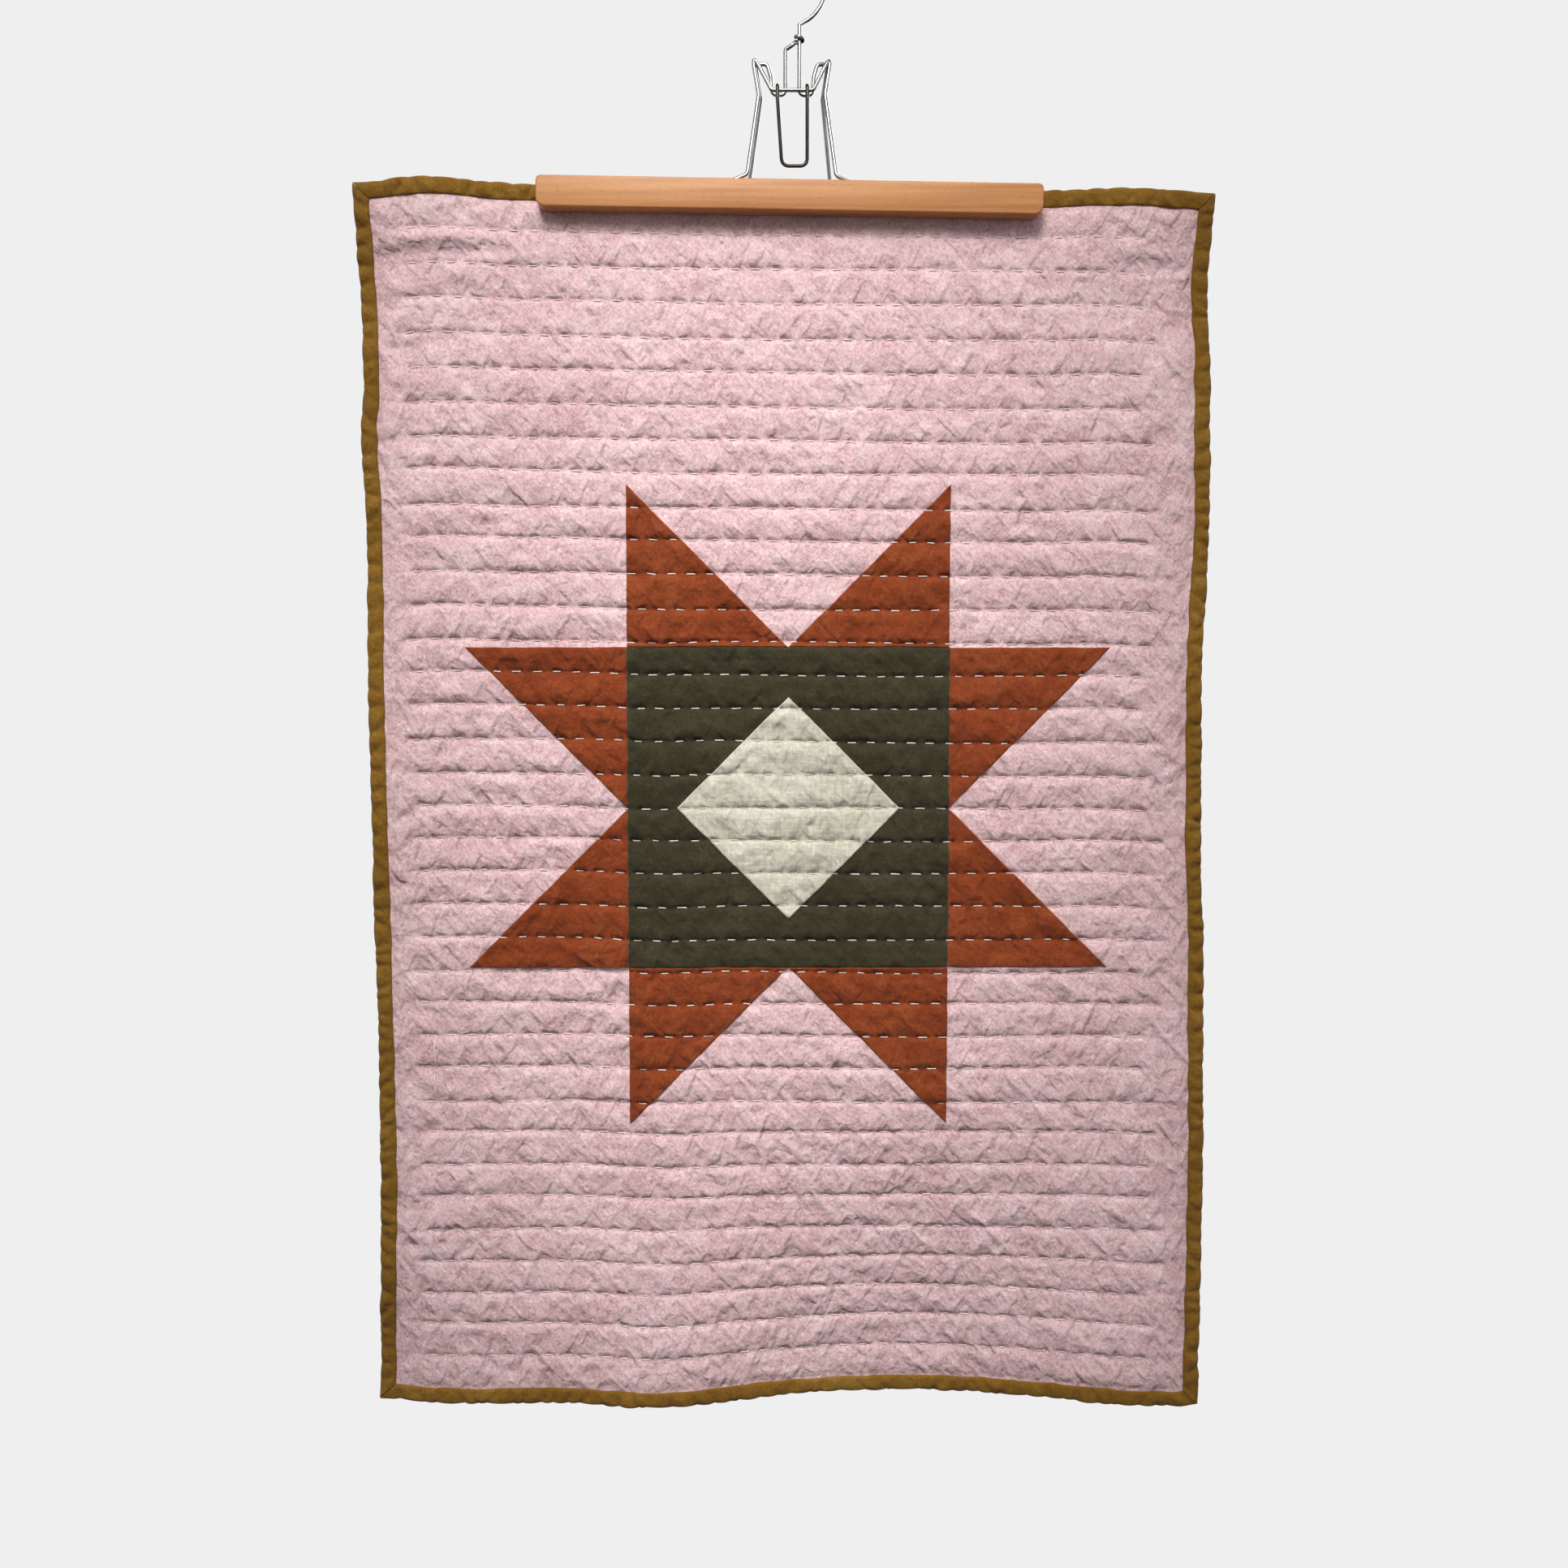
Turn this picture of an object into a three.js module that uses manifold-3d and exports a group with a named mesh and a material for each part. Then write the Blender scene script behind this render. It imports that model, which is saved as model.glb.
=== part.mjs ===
// A small hand-quilted wall quilt, held by its top edge in a wooden clamp hanger with a steel wire hook.
// Millimetres. +Z is up, +X is to the right of someone who faces the quilt, and its front faces -Y.
// The origin is the hook's seat, the spot inside the hook's bend that rests on what holds it up.
import * as THREE from 'three';
import { mergeVertices } from 'three/addons/utils/BufferGeometryUtils.js';
import Module from 'manifold-3d';

const wasm = await Module();
wasm.setup();

// Driving dimensions

const clearance = 0.3; // between pieces that touch on the real thing

const quilt = {
  width: 427,
  height: 624,
  leftX: -211.3, // the left edge, before its wander
  topZ: -118.2, // the top edge's middle, before its wander
  fall: 1.6, // the top edge's right end hangs this much lower than its middle, its left end higher
  fallBelow: 0.4, // the share of that fall which is left at the bottom edge
  edgeHalf: 1.05, // half the cloth's thickness inside the binding
  lineHalf: 1.1, // and along a row of stitches
  crestFront: 2.5, // from the middle of the cloth to the crest of a channel, in front
  crestBack: 2.0, // and behind
  marginHalf: 1.9, // half the thickness of the unquilted margin
};

const rows = {
  count: 35, // rows of running stitch
  first: 23.4, // the first row, from the top edge
  pitch: 16.9,
  wander: 0.9, // how far a row strays from level spacing
  startsIn: 24, // the rows' first stitch, from the left edge
  endsIn: 25, // and their last, from the right edge
};

// Facets across the quilted part: how many, up to each place. The clamp's ends lie at two of the places.
const facets = [
  { count: 2, upTo: 87 },
  { count: 6, upTo: 339 },
  { count: 2, upTo: 402 },
];
const curlEnds = 110; // below this the cloth's sides hang nearly straight

const binding = {
  wide: 8, // as it shows on each face
  wall: 0.9, // folded cloth
  outerHalf: 2.4, // half its thickness over all
  foldRoom: 1.3, // from the cloth's cut edge to the fold
  rounded: 0.7, // the fold's nose
  noseWall: 1.3, // and how thick the cloth is there
};

// How far each edge strays outwards, along it. The numbers between are eased.
const topEdge = [
  { along: 0, out: -1.2 },
  { along: 38, out: 2.2 },
  { along: 84, out: 0.5 },
  { along: 214, out: 0 },
  { along: 345, out: 0 },
  { along: 367, out: 1 },
  { along: 427, out: -1.8 },
];
const bottomEdge = [
  { along: 0, out: -1.2 },
  { along: 32, out: 0.6 },
  { along: 98, out: -0.6 },
  { along: 147, out: 1.9 },
  { along: 190, out: 0 },
  { along: 272, out: 0.6 },
  { along: 355, out: 0.2 },
  { along: 414, out: 1.3 },
  { along: 427, out: 0.6 },
];
const leftEdge = [
  { along: 0, out: 2.6 },
  { along: 100, out: 0 },
  { along: 122, out: 1.7 },
  { along: 165, out: -0.3 },
  { along: 215, out: -0.2 },
  { along: 500, out: -2 },
  { along: 602, out: 0.4 },
  { along: 624, out: 1.4 },
];
const rightEdge = [
  { along: 0, out: -1 },
  { along: 40, out: -2.6 },
  { along: 88, out: -0.6 },
  { along: 157, out: 0.5 },
  { along: 246, out: -2.2 },
  { along: 300, out: -1.5 },
  { along: 388, out: 1.7 },
  { along: 500, out: 2.8 },
  { along: 624, out: 1.4 },
];

// Where the hanging cloth leaves the plane of the clamp. Forward is towards the viewer.
// A fold is a soft bell, centred so far across and down, that reaches so far each way.
const folds = [
  { across: 272, reachAcross: 128, down: 640, reachDown: 200, forward: -17 },
  { across: 140, reachAcross: 90, down: 630, reachDown: 150, forward: 2.5 },
  { across: 405, reachAcross: 80, down: 630, reachDown: 170, forward: 3 },
  { across: 20, reachAcross: 90, down: -6, reachDown: 52, forward: 6 },
  { across: 412, reachAcross: 80, down: -6, reachDown: 46, forward: 6 },
  { across: 30, reachAcross: 120, down: 60, reachDown: 30, forward: -1.6 },
  { across: 402, reachAcross: 90, down: 56, reachDown: 26, forward: -2.2 },
  { across: 0, reachAcross: 70, down: 300, reachDown: 130, forward: 2.4 },
  { across: 427, reachAcross: 60, down: 360, reachDown: 120, forward: -2.6 },
  { across: 0, reachAcross: 60, down: 604, reachDown: 60, forward: -4 },
];

// The sewn-on star: sixteen squares of one size, four by four, round its middle
const star = {
  square: 82,
  middleX: 2,
  middleZ: -429,
  diamondHalf: 57, // half the linen square's diagonal
  thick: 1,
  gap: 0.16, // drawn in by this much on each side
};

const bar = {
  length: 250,
  tall: 15,
  deep: 11,
  middleX: 2.7,
  topZ: -117.8,
  tilt: 0.0129, // hangs a little lower on the right
  topRadius: 2.5,
  bottomRadius: 4.5,
  edgeRound: 0.8,
  faceY: 2.75, // each bar's inner face, from the middle of the cloth
};

const wire = {
  radius: 1,
  loopRadius: 0.9,
  grip: 0.15, // how far the collar's coil is pressed into the stem
  sides: 8,
};

const hook = {
  radius: 20.6, // to the middle of the wire
  tipAngle: 198, // degrees, from +X, where the round part ends
  neckAngle: -54, // and where it starts, above the kink
};

// Small helpers

const ease = (t) => t * t * (3 - 2 * t);

function between(low, high, value) {
  return Math.min(Math.max((value - low) / (high - low), 0), 1);
}

function readTable(table, along) {
  const next = table.findIndex((row) => row.along >= along);
  if (next < 0) return table[table.length - 1].out;
  if (next === 0) return table[0].out;
  const [a, b] = [table[next - 1], table[next]];
  return a.out + (b.out - a.out) * ease(between(a.along, b.along, along));
}

// A repeatable number from -1 to 1 for a row and a column
function uneven(i, j) {
  const wave = Math.sin(i * 12.9898 + j * 78.233) * 43758.5453;
  return 2 * (wave - Math.floor(wave)) - 1;
}

function bell(t) {
  return Math.abs(t) < 1 ? 0.5 + 0.5 * Math.cos(Math.PI * t) : 0;
}

// The cloth's middle surface: a point so far across from the left edge and down from the top one

const barLeft = bar.middleX - bar.length / 2 - quilt.leftX;
const barRight = barLeft + bar.length;

// The cloth stays flat for a little way round the bars, and hangs freely past that
const clampHold = { flatRound: 4, freeAfter: 40 };

// 0 where the bars hold the cloth flat, and 1 well away from them
function freeOfClamp(across, down) {
  const past = (distance) => Math.max(distance - clampHold.flatRound, 0);
  const beside = Math.max(past(barLeft - across), past(across - barRight));
  return ease(between(0, clampHold.freeAfter, Math.hypot(beside, past(down - bar.tall))));
}

function forwardAt(across, down) {
  let sum = 0;
  for (const fold of folds) {
    const wide = bell((across - fold.across) / fold.reachAcross);
    sum += fold.forward * wide * bell((down - fold.down) / fold.reachDown);
  }
  return sum * freeOfClamp(across, down);
}

function middleOfCloth(across, down) {
  const left = quilt.leftX - readTable(leftEdge, down);
  const right = quilt.leftX + quilt.width + readTable(rightEdge, down);
  const lean = quilt.fall * (1 - (2 * across) / quilt.width);
  const top = quilt.topZ + lean + readTable(topEdge, across);
  const bottom = quilt.topZ - quilt.height + lean * quilt.fallBelow - readTable(bottomEdge, across);
  return new THREE.Vector3(
    left + ((right - left) * across) / quilt.width,
    -forwardAt(across, down),
    top + ((bottom - top) * down) / quilt.height,
  );
}

// A point that stands proud of the middle surface, towards the front where proud is positive
function onCloth(across, down, proud) {
  const step = 1;
  const sideways = middleOfCloth(across + step, down).sub(middleOfCloth(across - step, down));
  const upwards = middleOfCloth(across, down - step).sub(middleOfCloth(across, down + step));
  const normal = sideways.cross(upwards).normalize();
  return middleOfCloth(across, down).addScaledVector(normal, proud);
}

// The quilting

function rowDown(k, across) {
  const level = rows.first + rows.pitch * k;
  const stray = rows.wander * (0.6 * uneven(k, 3) + 0.4 * Math.sin(across / 47 + 5 * uneven(k, 8)));
  return level + (k > 0 && k < rows.count - 1 ? stray : 0);
}

const quiltedRight = quilt.width - rows.endsIn;

// How far in from each edge the margin's facets end
const cutEdge = binding.wall + binding.foldRoom;
const pastBinding = binding.wide + 0.5;
const softMargin = binding.wide + 7.5;

const columns = [cutEdge, pastBinding, softMargin, rows.startsIn];
for (const { count, upTo } of facets) {
  const from = columns[columns.length - 1];
  for (let i = 1; i <= count; i += 1) columns.push(from + ((upTo - from) * i) / count);
}
columns.push(quilt.width - softMargin, quilt.width - pastBinding, quilt.width - cutEdge);

// Each level of the grid: how far down it is, and how full the channel is there
const levels = [
  { down: () => cutEdge, full: null },
  { down: () => pastBinding, full: null },
  { down: () => softMargin, full: null },
];
for (let k = 0; k < rows.count; k += 1) {
  levels.push({ down: (across) => rowDown(k, across), full: 0, row: k });
  if (k === rows.count - 1) break;
  for (const part of [1 / 3, 2 / 3]) {
    levels.push({
      down: (across) => rowDown(k, across) * (1 - part) + rowDown(k + 1, across) * part,
      full: 1,
      row: k,
    });
  }
}
levels.push(
  { down: () => quilt.height - softMargin, full: null },
  { down: () => quilt.height - pastBinding, full: null },
  { down: () => quilt.height - cutEdge, full: null },
);

// From the middle of the cloth to its front face, or its back face, at a point of the grid
function halfThick(level, i, crest) {
  const across = columns[i];
  const down = level.down(across);
  const toEdge = Math.min(across, quilt.width - across, down, quilt.height - down);
  if (toEdge <= pastBinding) return quilt.edgeHalf;
  const inMargin = across < rows.startsIn || across > quiltedRight;
  if (level.full === null || inMargin) return quilt.marginHalf;
  if (level.full === 0) return quilt.lineHalf;
  return crest * (1 + 0.12 * uneven(level.row, i));
}

// A closed shell from two matching grids of points, the first in front, each a list of rows
function shellOf(front, back) {
  const tall = front.length;
  const wide = front[0].length;
  const points = [...front.flat(), ...back.flat()];
  const index = [];
  const at = (side, r, c) => side * tall * wide + r * wide + c;
  const quad = (a, b, c, d) => index.push(a, b, c, a, c, d);
  for (let r = 0; r + 1 < tall; r += 1) {
    for (let c = 0; c + 1 < wide; c += 1) {
      quad(at(0, r, c), at(0, r + 1, c), at(0, r + 1, c + 1), at(0, r, c + 1));
      quad(at(1, r, c), at(1, r, c + 1), at(1, r + 1, c + 1), at(1, r + 1, c));
    }
    quad(at(0, r, 0), at(1, r, 0), at(1, r + 1, 0), at(0, r + 1, 0));
    quad(at(1, r, wide - 1), at(0, r, wide - 1), at(0, r + 1, wide - 1), at(1, r + 1, wide - 1));
  }
  for (let c = 0; c + 1 < wide; c += 1) {
    quad(at(0, 0, c), at(0, 0, c + 1), at(1, 0, c + 1), at(1, 0, c));
    quad(at(1, tall - 1, c), at(1, tall - 1, c + 1), at(0, tall - 1, c + 1), at(0, tall - 1, c));
  }
  const geometry = new THREE.BufferGeometry().setFromPoints(points);
  geometry.setIndex(index);
  return geometry;
}

// One face of the quilt, lifted by so much
function faceGrid(side, lift, fromLevel = 0, toLevel = levels.length) {
  const crest = side > 0 ? quilt.crestFront : quilt.crestBack;
  return levels.slice(fromLevel, toLevel).map((level) =>
    columns.map((across, i) =>
      onCloth(across, level.down(across), side * (halfThick(level, i, crest) + lift))));
}

function quiltGeometry() {
  return shellOf(faceGrid(1, 0), faceGrid(-1, 0));
}

// The binding: a folded strip round one edge, its ends cut at 45 degrees for the mitres

// The strip's section: how far in from the edge, and how far proud of the cloth's middle
const bindingSection = [
  { inward: binding.wide, proud: binding.outerHalf },
  { inward: binding.rounded, proud: binding.outerHalf },
  { inward: 0, proud: 0 },
  { inward: binding.rounded, proud: -binding.outerHalf },
  { inward: binding.wide, proud: -binding.outerHalf },
  { inward: binding.wide, proud: binding.wall - binding.outerHalf },
  { inward: binding.noseWall, proud: binding.wall - binding.outerHalf },
  { inward: binding.noseWall, proud: binding.outerHalf - binding.wall },
  { inward: binding.wide, proud: binding.outerHalf - binding.wall },
];

// stations lie along the edge, from 0 to length, and toCloth turns (along, inward) into (across, down)
function bindingGeometry(stations, length, toCloth) {
  const middle = stations.filter((s) => s > pastBinding && s < length - pastBinding);
  const miter = clearance * Math.SQRT1_2;
  const ringAt = (alongOf) => bindingSection.map((p) => {
    const [across, down] = toCloth(alongOf(p.inward), p.inward);
    return onCloth(across, down, p.proud);
  });
  const rings = [
    ringAt((inward) => inward + miter),
    ...middle.map((s) => ringAt(() => s)),
    ringAt((inward) => length - inward - miter),
  ];
  const count = bindingSection.length;
  const index = [];
  for (let r = 0; r + 1 < rings.length; r += 1) {
    for (let p = 0; p < count; p += 1) {
      const [a, b] = [r * count + p, r * count + ((p + 1) % count)];
      index.push(a, a + count, b + count, a, b + count, b);
    }
  }
  const flat = bindingSection.map((p) => new THREE.Vector2(p.inward, p.proud));
  const last = (rings.length - 1) * count;
  for (const [a, b, c] of THREE.ShapeUtils.triangulateShape(flat, [])) {
    index.push(a, b, c, last + c, last + b, last + a);
  }
  const geometry = new THREE.BufferGeometry().setFromPoints(rings.flat());
  geometry.setIndex(index);
  return outwards(geometry);
}

// Turns a closed mesh the right way round if it is inside out
function outwards(geometry) {
  const [position, index] = [geometry.getAttribute('position'), geometry.index.array];
  const [a, b, c] = [new THREE.Vector3(), new THREE.Vector3(), new THREE.Vector3()];
  let volume = 0;
  for (let i = 0; i < index.length; i += 3) {
    a.fromBufferAttribute(position, index[i]);
    b.fromBufferAttribute(position, index[i + 1]);
    c.fromBufferAttribute(position, index[i + 2]);
    volume += a.dot(b.cross(c));
  }
  if (volume < 0) geometry.setIndex([...index].reverse());
  return geometry;
}

// Joins and cuts

function toSolid(geometry) {
  const bare = geometry.clone();
  bare.deleteAttribute('normal');
  bare.deleteAttribute('uv');
  const merged = mergeVertices(bare, 1e-4);
  return new wasm.Manifold(new wasm.Mesh({
    numProp: 3,
    vertProperties: new Float32Array(merged.getAttribute('position').array),
    triVerts: new Uint32Array(merged.index.array),
  }));
}

function toGeometry(solid) {
  const mesh = solid.getMesh();
  const geometry = new THREE.BufferGeometry();
  geometry.setAttribute('position', new THREE.BufferAttribute(mesh.vertProperties, 3));
  geometry.setIndex(new THREE.BufferAttribute(mesh.triVerts, 1));
  return geometry;
}

// The star's patches follow the channels of the front face

// A prism through the cloth over an outline, given in squares from the star's middle, drawn in all round
function starPrism(corners) {
  const outline = corners.map(([u, v]) => new THREE.Vector2(u * star.square, v * star.square));
  if (THREE.ShapeUtils.isClockWise(outline)) outline.reverse();
  const count = outline.length;
  const drawnIn = outline.map((corner, i) => {
    const before = outline[(i + count - 1) % count].clone().sub(corner).normalize();
    const after = outline[(i + 1) % count].clone().sub(corner).normalize();
    const halfAngle = before.angleTo(after) / 2;
    const inwards = before.add(after).normalize();
    return corner.clone().addScaledVector(inwards, star.gap / Math.sin(halfAngle));
  });
  const through = 80; // more than the cloth's folds are deep
  const prism = new THREE.ExtrudeGeometry(new THREE.Shape(drawnIn), {
    depth: through,
    bevelEnabled: false,
  });
  prism.rotateX(Math.PI / 2);
  prism.translate(star.middleX, through / 2, star.middleZ);
  return toSolid(prism);
}

function skinOfFront(lift) {
  const reach = 2 * star.square + 2 * rows.pitch;
  const first = levels.findIndex((level) => level.down(0) > quilt.topZ - star.middleZ - reach);
  const last = levels.findIndex((level) => level.down(0) > quilt.topZ - star.middleZ + reach);
  return toSolid(shellOf(faceGrid(1, lift + star.thick, first, last), faceGrid(1, lift, first, last)));
}

const lowerSkin = skinOfFront(clearance);
const upperSkin = skinOfFront(2 * clearance + star.thick);

// Two of the star's points lie on each side of the square that they share
const starPoints = [];
for (let turn = 0; turn < 4; turn += 1) {
  const quarter = (u, v) => [[u, v], [-v, u], [-u, -v], [v, -u]][turn];
  starPoints.push([quarter(-1, 2), quarter(-1, 1), quarter(0, 1)]);
  starPoints.push([quarter(1, 2), quarter(0, 1), quarter(1, 1)]);
}

// The bars

// A point of a bar's own length, height and depth, put where the tilted bar is
const barPlace = new THREE.Matrix4()
  .makeTranslation(bar.middleX, 0, bar.topZ)
  .multiply(new THREE.Matrix4().makeRotationY(bar.tilt));

function onBar(along, y, up) {
  return new THREE.Vector3(along, y, up).applyMatrix4(barPlace);
}

function barGeometry(side) {
  const half = bar.length / 2 - bar.edgeRound;
  const low = -bar.tall + bar.edgeRound;
  const high = -bar.edgeRound;
  const [top, bottom] = [bar.topRadius, bar.bottomRadius];
  const outline = new THREE.Shape();
  outline.moveTo(-half + bottom, low);
  outline.lineTo(half - bottom, low);
  outline.absarc(half - bottom, low + bottom, bottom, -Math.PI / 2, 0);
  outline.absarc(half - top, high - top, top, 0, Math.PI / 2);
  outline.absarc(-half + top, high - top, top, Math.PI / 2, Math.PI);
  outline.absarc(-half + bottom, low + bottom, bottom, Math.PI, Math.PI * 1.5);
  const geometry = new THREE.ExtrudeGeometry(outline, {
    depth: bar.deep - 2 * bar.edgeRound,
    curveSegments: 4,
    bevelThickness: bar.edgeRound,
    bevelSize: bar.edgeRound,
    bevelSegments: 1,
  });
  geometry.rotateX(Math.PI / 2);
  const nearFace = side < 0 ? -bar.faceY : bar.faceY + bar.deep;
  geometry.translate(0, nearFace - bar.edgeRound, 0);
  return geometry.applyMatrix4(barPlace);
}

// Bent wire

// A wire's middle line: the listed points, with stations kept where they are and not spread evenly
class WireLine extends THREE.Curve {
  constructor(stations) {
    super();
    this.stations = stations;
  }

  getPointAt(u) {
    return this.stations[Math.round(u * (this.stations.length - 1))].clone();
  }

  getTangentAt(u) {
    const last = this.stations.length - 1;
    const i = Math.round(u * last);
    const before = this.stations[Math.max(i - 1, 0)];
    const after = this.stations[Math.min(i + 1, last)];
    const here = this.stations[i];
    if (i === 0 || i === last) return after.clone().sub(before).normalize();
    const incoming = here.clone().sub(before).normalize();
    return incoming.add(after.clone().sub(here).normalize()).normalize();
  }
}

const sharp = THREE.MathUtils.degToRad(30); // half the angle at a corner that needs more steps

// Rounds the corners of a bent wire: each corner is [x, y, z, bend radius], and 0 leaves it as it is
function bend(corners) {
  const points = corners.map(([x, y, z]) => new THREE.Vector3(x, y, z));
  const line = [points[0]];
  for (let i = 1; i + 1 < points.length; i += 1) {
    if (corners[i][3] === 0) {
      line.push(points[i]);
      continue;
    }
    const back = points[i - 1].clone().sub(points[i]);
    const on = points[i + 1].clone().sub(points[i]);
    const halfAngle = back.angleTo(on) / 2;
    const room = Math.min(back.length(), on.length()) * 0.48;
    const reach = Math.min(corners[i][3] / Math.tan(halfAngle), room);
    const start = points[i].clone().addScaledVector(back.normalize(), reach);
    const end = points[i].clone().addScaledVector(on.normalize(), reach);
    const corner = new THREE.QuadraticBezierCurve3(start, points[i], end);
    const steps = halfAngle < sharp ? 5 : 2;
    line.push(...corner.getPoints(steps));
  }
  line.push(points[points.length - 1]);
  return line;
}

function tubeGeometry(stations, radius) {
  const section = new THREE.Shape();
  for (let i = 0; i < wire.sides; i += 1) {
    const angle = (2 * Math.PI * (i + 0.5)) / wire.sides;
    const place = [radius * Math.cos(angle), radius * Math.sin(angle)];
    if (i === 0) section.moveTo(...place);
    else section.lineTo(...place);
  }
  section.closePath();
  return new THREE.ExtrudeGeometry(section, {
    steps: stations.length - 1,
    extrudePath: new WireLine(stations),
  });
}

// The frames: the rear one carries the hook, and the front one hangs on it by its ears

const frames = {
  stemX: 7.4, // the stem, and the right upright below it
  neckZ: -39, // the kink between the hook and the stem
  uprightX: 0.5, // the left upright
  uprightTopZ: -51,
  collarZ: -46.2,
  turnZ: -73, // the lowest point of the two turns under the front rod
  turnOut: 6.6, // from an upright to the wire that rises beside it
  riseLean: 0.7, // the rising wires lean out by this much up to riseZ
  riseZ: -64,
  shoulderOut: 2.5, // and by this much at the shoulder
  shoulderZ: -57.9,
  shoulderY: 0.4,
  rearEarZ: -57.6,
  rearEarIn: 1.8, // the rear ears lie this much nearer the middle than the front ones
  frontEarZ: -53,
  rodZ: -72.2,
  rodY: -4.7,
  rodLeftX: -6.4,
  rodRightX: 14.2,
  earY: 1.2, // each frame's ears, from the middle
  leftEarX: -16.2,
  rightEarX: 23.5,
  waistZ: -74, // the legs draw together here and then spread
  waistOut: 2, // further from the middle plane than the ears
  rearWaistIn: 4.4, // sideways from the ear's corner to the rear legs' waist
  frontWaistIn: 3.4, // and to the front legs'
  footZ: 3.4, // the legs' bend, above the bars
  footLong: 19,
  footDrop: 8, // the foot slants into its hole by this much
};
const barMiddleY = bar.faceY + bar.deep / 2;

// The foot of a leg, which slants outwards into the bar: the bend above the bar and the end in its hole
function footOf(side, direction, along) {
  const y = side * barMiddleY;
  return {
    bend: onBar(along, y, frames.footZ),
    end: onBar(along + direction * frames.footLong, y, frames.footZ - frames.footDrop),
  };
}

const feet = {
  frontLeft: footOf(-1, -1, -21.2),
  frontRight: footOf(-1, 1, 22.8),
  rearLeft: footOf(1, -1, -20.5),
  rearRight: footOf(1, 1, 20.6),
};

function hookLine() {
  const arc = [];
  const steps = 14;
  for (let i = 0; i <= steps; i += 1) {
    const angle = THREE.MathUtils.degToRad(
      hook.tipAngle + ((hook.neckAngle - hook.tipAngle) * i) / steps,
    );
    const z = wire.radius - hook.radius + hook.radius * Math.sin(angle);
    arc.push(new THREE.Vector3(hook.radius * Math.cos(angle), 0, z));
  }
  return arc;
}

function hookFrameLine() {
  const { stemX, uprightX, turnOut, turnZ, earY, waistZ } = frames;
  const half = turnOut / 2;
  // From an upright's turn, out to one side, over the shoulder to the ear and down to the foot
  const side = (x, out, earX, foot) => [
    [x, 0, turnZ, half],
    [x + out * turnOut, 0, turnZ, half],
    [x + out * (turnOut + frames.riseLean), 0, frames.riseZ, 4],
    [x + out * (turnOut + frames.shoulderOut), frames.shoulderY, frames.shoulderZ, 2.5],
    [earX - out * frames.rearEarIn, earY, frames.rearEarZ, 1.6],
    [earX - out * frames.rearWaistIn, earY + frames.waistOut, waistZ, 6],
    [foot.bend.x, foot.bend.y, foot.bend.z, 3],
    [foot.end.x, foot.end.y, foot.end.z, 0],
  ];
  return {
    down: bend([[stemX, 0, frames.neckZ, 2.6], ...side(stemX, 1, frames.rightEarX, feet.rearRight)]),
    other: bend([
      [uprightX, 0, frames.uprightTopZ - 2, 0],
      ...side(uprightX, -1, frames.leftEarX, feet.rearLeft),
    ]),
  };
}

// The collar: the left upright's end, wound once round the stem
function collarLine(upright) {
  const turns = 10;
  const wound = wire.radius * 2 - wire.grip;
  const line = [];
  for (let i = 0; i <= turns; i += 1) {
    const angle = Math.PI + ((2 * Math.PI * 1.08) * i) / turns;
    line.push(new THREE.Vector3(
      frames.stemX + wound * Math.cos(angle),
      wound * Math.sin(angle),
      frames.collarZ + 1.3 - (2.6 * i) / turns,
    ));
  }
  const from = line[line.length - 1];
  const run = bend([
    [from.x, from.y, from.z, 0],
    [frames.uprightX + 3.2, -0.6, frames.uprightTopZ + 1.9, 1.5],
    [frames.uprightX, 0, frames.uprightTopZ, 1.5],
    [upright.x, upright.y, upright.z, 0],
  ]);
  return [...line, ...run.slice(1, -1)];
}

function hookFrameGeometry() {
  const { down, other } = hookFrameLine();
  const main = toSolid(tubeGeometry([...hookLine(), ...down], wire.radius));
  const wound = toSolid(tubeGeometry([...collarLine(other[0]), ...other], wire.radius));
  return toGeometry(main.add(wound));
}

function frontFrameGeometry() {
  const { rodZ, rodY, rodLeftX, rodRightX, earY, leftEarX, rightEarX, frontEarZ, waistZ } = frames;
  // From a foot up its leg, over the ear and down to its end of the rod
  const side = (out, earX, foot, rodX) => [
    [foot.end.x, foot.end.y, foot.end.z, 0],
    [foot.bend.x, foot.bend.y, foot.bend.z, 3],
    [earX - out * frames.frontWaistIn, -earY - frames.waistOut, waistZ, 6],
    [earX, -earY, frontEarZ, 1.3],
    [rodX, rodY, rodZ, 2],
  ];
  return tubeGeometry(bend([
    ...side(-1, leftEarX, feet.frontLeft, rodLeftX),
    ...side(1, rightEarX, feet.frontRight, rodRightX).reverse(),
  ]), wire.radius);
}

const loop = {
  leftX: -3.5,
  rightX: 11.2,
  narrower: 2.2, // at its round end
  endZ: -109.6,
};

function lockLoopGeometry() {
  const over = wire.radius + wire.loopRadius + clearance;
  const { rodZ, rodY } = frames;
  const eye = (x) => {
    const line = [];
    for (let i = 0; i <= 6; i += 1) {
      const angle = (Math.PI * i) / 6;
      line.push([x, rodY + over * Math.cos(angle), rodZ + over * Math.sin(angle), 0]);
    }
    return line;
  };
  const leg = (x) => [x, rodY - over - 0.2, rodZ - 5, 4];
  const tail = (x) => [x, rodY + over, rodZ - 1.8, 0];
  return tubeGeometry(bend([
    tail(loop.leftX),
    ...eye(loop.leftX),
    leg(loop.leftX),
    [loop.leftX + loop.narrower, rodY - over, loop.endZ, 4],
    [loop.rightX, rodY - over, loop.endZ, 4],
    leg(loop.rightX),
    ...eye(loop.rightX).reverse(),
    tail(loop.rightX),
  ]), wire.loopRadius);
}

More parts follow.
